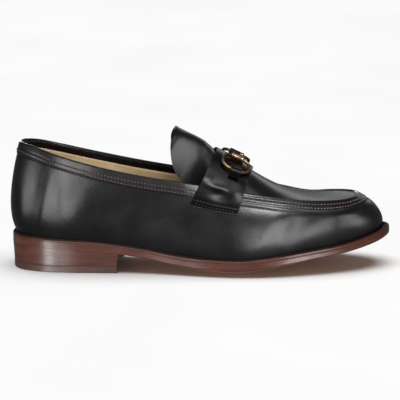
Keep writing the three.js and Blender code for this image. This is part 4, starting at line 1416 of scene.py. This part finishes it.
lining_seams = []
for sign in (-1, 1):
    place = np.full(40, places_between(LINING_SEAM_X, LINING_SEAM_X + 1, sign, 2)[0])
    down = np.linspace(LINING_TOP + 1, LINING_SEAM_END, 40)
    lining_seams.append(wall_row(place, down, -WALL - LINING_SKIN - 0.1, inside=True))
    place = places_between(INNER_START_X, COLLAR_END_X, sign)
    face = -WALL - LINING_SKIN - heel_grip(place)
    lining_seams.append(wall_row(place, LINING_TOP + 1.6, face, inside=True))
# The lining's needle holes take the darker cut-edge colour as painted shade.
stitched("lining_stitches", lining_seams, LINING_SEAM, pale_thread, "lining", hole_shade_finish=cut_edge)

# %% [markdown]
# The shoe stands on a plain pale floor, as in a shop photograph. A little light comes from all
# round, from a white world. The floor doesn't show in the gloss of the shoe, because polished
# leather would mirror its edge as a line.

# %% Floor and studio
from mathutils import Vector

WORLD_STRENGTH, FLOOR_HALF, SUN_POWER, SUN_ANGLE = 0.13, 6, 3.2, 60

floor_mesh = bpy.data.meshes.new("floor")
corners = [(FLOOR_HALF * x, FLOOR_HALF * y, 0) for x, y in ((-1, -1), (1, -1), (1, 1), (-1, 1))]
floor_mesh.from_pydata(corners, [], [(0, 1, 2, 3)])
floor = bpy.data.objects.new("floor", floor_mesh)
bpy.context.scene.collection.objects.link(floor)
pale_floor = make_finish("pale_floor", tones((0.88,) * 3, (0.90,) * 3), (3, 2, EVEN), (0.6, 0.7))
floor_mesh.materials.append(pale_floor)
floor.visible_glossy = False
floor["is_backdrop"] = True

world = bpy.data.worlds.new("studio")
bpy.context.scene.world = world
world.use_nodes = True
background = world.node_tree.nodes["Background"]
background.inputs["Color"].default_value = (1.0, 1.0, 1.0, 1.0)
background.inputs["Strength"].default_value = WORLD_STRENGTH
bpy.context.scene.view_settings.view_transform = "Standard"
print("floor:", 2 * FLOOR_HALF, "m wide")

# %% [markdown]
# A photographer would flag each lamp with black cards, so that it reaches one part of the shoe
# and not the next. Here each lamp is meant for a group of pieces, chosen by their names.

# %% What the lamps are meant for
piece_names = [piece.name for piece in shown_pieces()]


def with_word(*words):
    return [name for name in piece_names if any(word in name for word in words)]


def lit_group(name, names):
    """A collection of the named pieces."""
    group = bpy.data.collections.new(name)
    for one in names:
        group.objects.link(bpy.data.objects[one])
    print(name, len(names), "pieces")
    return group


bottom_names, strap_names = with_word("sole", "heel_stack", "lift", "welt"), with_word("strap", "bit_")
upper_names = [name for name in piece_names if name not in bottom_names]
side_names = [name for name in upper_names if name not in ("apron_and_tongue", *strap_names)]
floor_lit = lit_group("floor_lit", ["floor"])
shoe_lit = lit_group("shoe_lit", piece_names)
bottom_lit = lit_group("bottom_lit", bottom_names)
upper_lit = lit_group("upper_lit", upper_names)
side_lit = lit_group("side_lit", side_names)
strap_lit = lit_group("strap_lit", strap_names)
brass_lit = lit_group("brass_lit", with_word("brass"))
plug_lit = lit_group("plug_lit", ["apron_and_tongue", "tongue_stitches"])
inside_lit = lit_group("inside_lit", ["tan_lining", "insole_sock", "lining_stitches"])

# %% [markdown]
# Polished leather shows its shape by what it mirrors. So a wide sun whitens the floor only, and
# small soft boxes close to the shoe lay the patches on heel, ball and toe. One lights the strap,
# one the tongue, one fills the inside, and one behind draws the topline.

# %% Lights
def soft_box(name, spot, azimuth, elevation, distance, size, power, lit):
    """A soft box seen from a spot on the shoe. Azimuth 0 is the camera's side and 90 is the toe's."""
    lamp = bpy.data.lights.new(name, "AREA")
    lamp.shape = "RECTANGLE"
    lamp.size, lamp.size_y = size
    lamp.energy = power
    light = bpy.data.objects.new(name, lamp)
    bpy.context.scene.collection.objects.link(light)
    a, e = math.radians(azimuth), math.radians(elevation)
    away = Vector((math.sin(a) * math.cos(e), -math.cos(a) * math.cos(e), math.sin(e)))
    light.location = Vector(spot) + away * distance
    light.rotation_euler = (-away).to_track_quat("-Z", "Y").to_euler()
    light.visible_camera = False
    light.light_linking.receiver_collection = lit
    light.light_linking.blocker_collection = shoe_lit


sun = bpy.data.lights.new("overhead", "SUN")
sun.energy, sun.angle = SUN_POWER, math.radians(SUN_ANGLE)
sun_light = bpy.data.objects.new("overhead", sun)
sun_light.light_linking.receiver_collection = floor_lit
bpy.context.scene.collection.objects.link(sun_light)

# Spots on the shoe, in metres
QUARTER, COLLAR, APRON_RIM = (-0.085, -0.045, 0.06), (-0.085, -0.045, 0.085), (0.062, -0.030, 0.055)
HEEL_BACK, BALL, TOE = (-0.13, -0.02, 0.06), (0.063, -0.05, 0.035), (0.115, -0.04, 0.03)
STRAP, TONGUE, INSIDE = (0.03, -0.02, 0.08), (0.0, 0.0, 0.10), (-0.05, 0.04, 0.07)
TOP, BACK, MEDIAL, MEDIAL_SOLE = (0, 0, 0.08), (0.03, 0, 0.08), (0, 0.04, 0.05), (0, 0.04, 0.02)
HEEL_SIDE, SOLE_SIDE, UNDER = (-0.118, -0.03, 0.02), (0.08, -0.05, 0.01), (0, 0, 0.02)

# Name, spot, azimuth and elevation in degrees, distance and size in metres, power in watts, group
for soft_box_row in (
    ("heel_patch", QUARTER, -28, -4, 0.28, (0.10, 0.16), 0.54, side_lit),
    ("collar_patch", COLLAR, -26, 14, 0.22, (0.11, 0.06), 0.26, side_lit),
    ("apron_strip", APRON_RIM, 4, 44, 0.16, (0.06, 0.05), 0.32, side_lit),
    ("tongue_light", TONGUE, 65, 38, 0.8, (0.8, 0.5), 8.5, plug_lit),
    ("heel_back", HEEL_BACK, -62, 2, 0.50, (0.20, 0.25), 1.1, side_lit),
    ("ball_patch", BALL, 13, 4, 0.36, (0.17, 0.20), 1.45, side_lit),
    ("ball_patch_low", BALL, 36, -10, 0.36, (0.16, 0.10), 0.50, side_lit),
    ("toe_patch", TOE, 68, -5, 0.36, (0.20, 0.12), 0.55, side_lit),
    ("strap_patch", STRAP, 20, 50, 0.60, (0.16, 0.12), 1.25, strap_lit),
    ("top_light", TOP, 20, 78, 0.9, (0.6, 0.35), 1.6, upper_lit),
    ("bit_light", STRAP, -5, 42, 0.8, (0.6, 0.5), 2.3, brass_lit),
    ("inside_light", INSIDE, 5, 48, 0.9, (0.4, 0.3), 5, inside_lit),
    ("back_edge", BACK, 174, 18, 1.2, (1.3, 0.35), 1.5, upper_lit),
    ("medial_patch", MEDIAL, 200, 14, 1.0, (0.5, 0.3), 2.9, side_lit),
    ("medial_band", MEDIAL_SOLE, 190, -8, 0.8, (0.5, 0.1), 1.0, bottom_lit),
    ("heel_band", HEEL_SIDE, -28, -20, 0.45, (0.09, 0.20), 0.8, bottom_lit),
    ("sole_band", SOLE_SIDE, 34, -14, 0.45, (0.14, 0.15), 0.7, bottom_lit),
    ("bottom_fill", UNDER, -5, 25, 1.2, (0.8, 0.4), 6.5, bottom_lit),
):
    soft_box(*soft_box_row)

# %% [markdown]
# The camera stands where the photographer stood: far off, square to the middle of the shoe's
# outer side, and a little above it. The long lens keeps heel and toe at one scale.

# %% Camera
camera_data = bpy.data.cameras.new("camera")
camera = bpy.data.objects.new("camera", camera_data)
bpy.context.scene.collection.objects.link(camera)
CAMERA_DISTANCE, CAMERA_TILT, CAMERA_ABOVE = 2.6, math.radians(11.7), 0.05
LENS_MM, SENSOR_MM, LOOK_AT = 296.6, 36.0, (-0.0003, 0.0, 0.0517)
camera_data.sensor_width = SENSOR_MM
camera_data.lens = LENS_MM
camera.location = (0.0, -CAMERA_DISTANCE * math.cos(CAMERA_TILT),
                   CAMERA_ABOVE + CAMERA_DISTANCE * math.sin(CAMERA_TILT))
look = Vector(LOOK_AT) - camera.location
camera.rotation_euler = look.to_track_quat("-Z", "Y").to_euler()
bpy.context.scene.camera = camera
print("camera at", [round(c, 3) for c in camera.location])
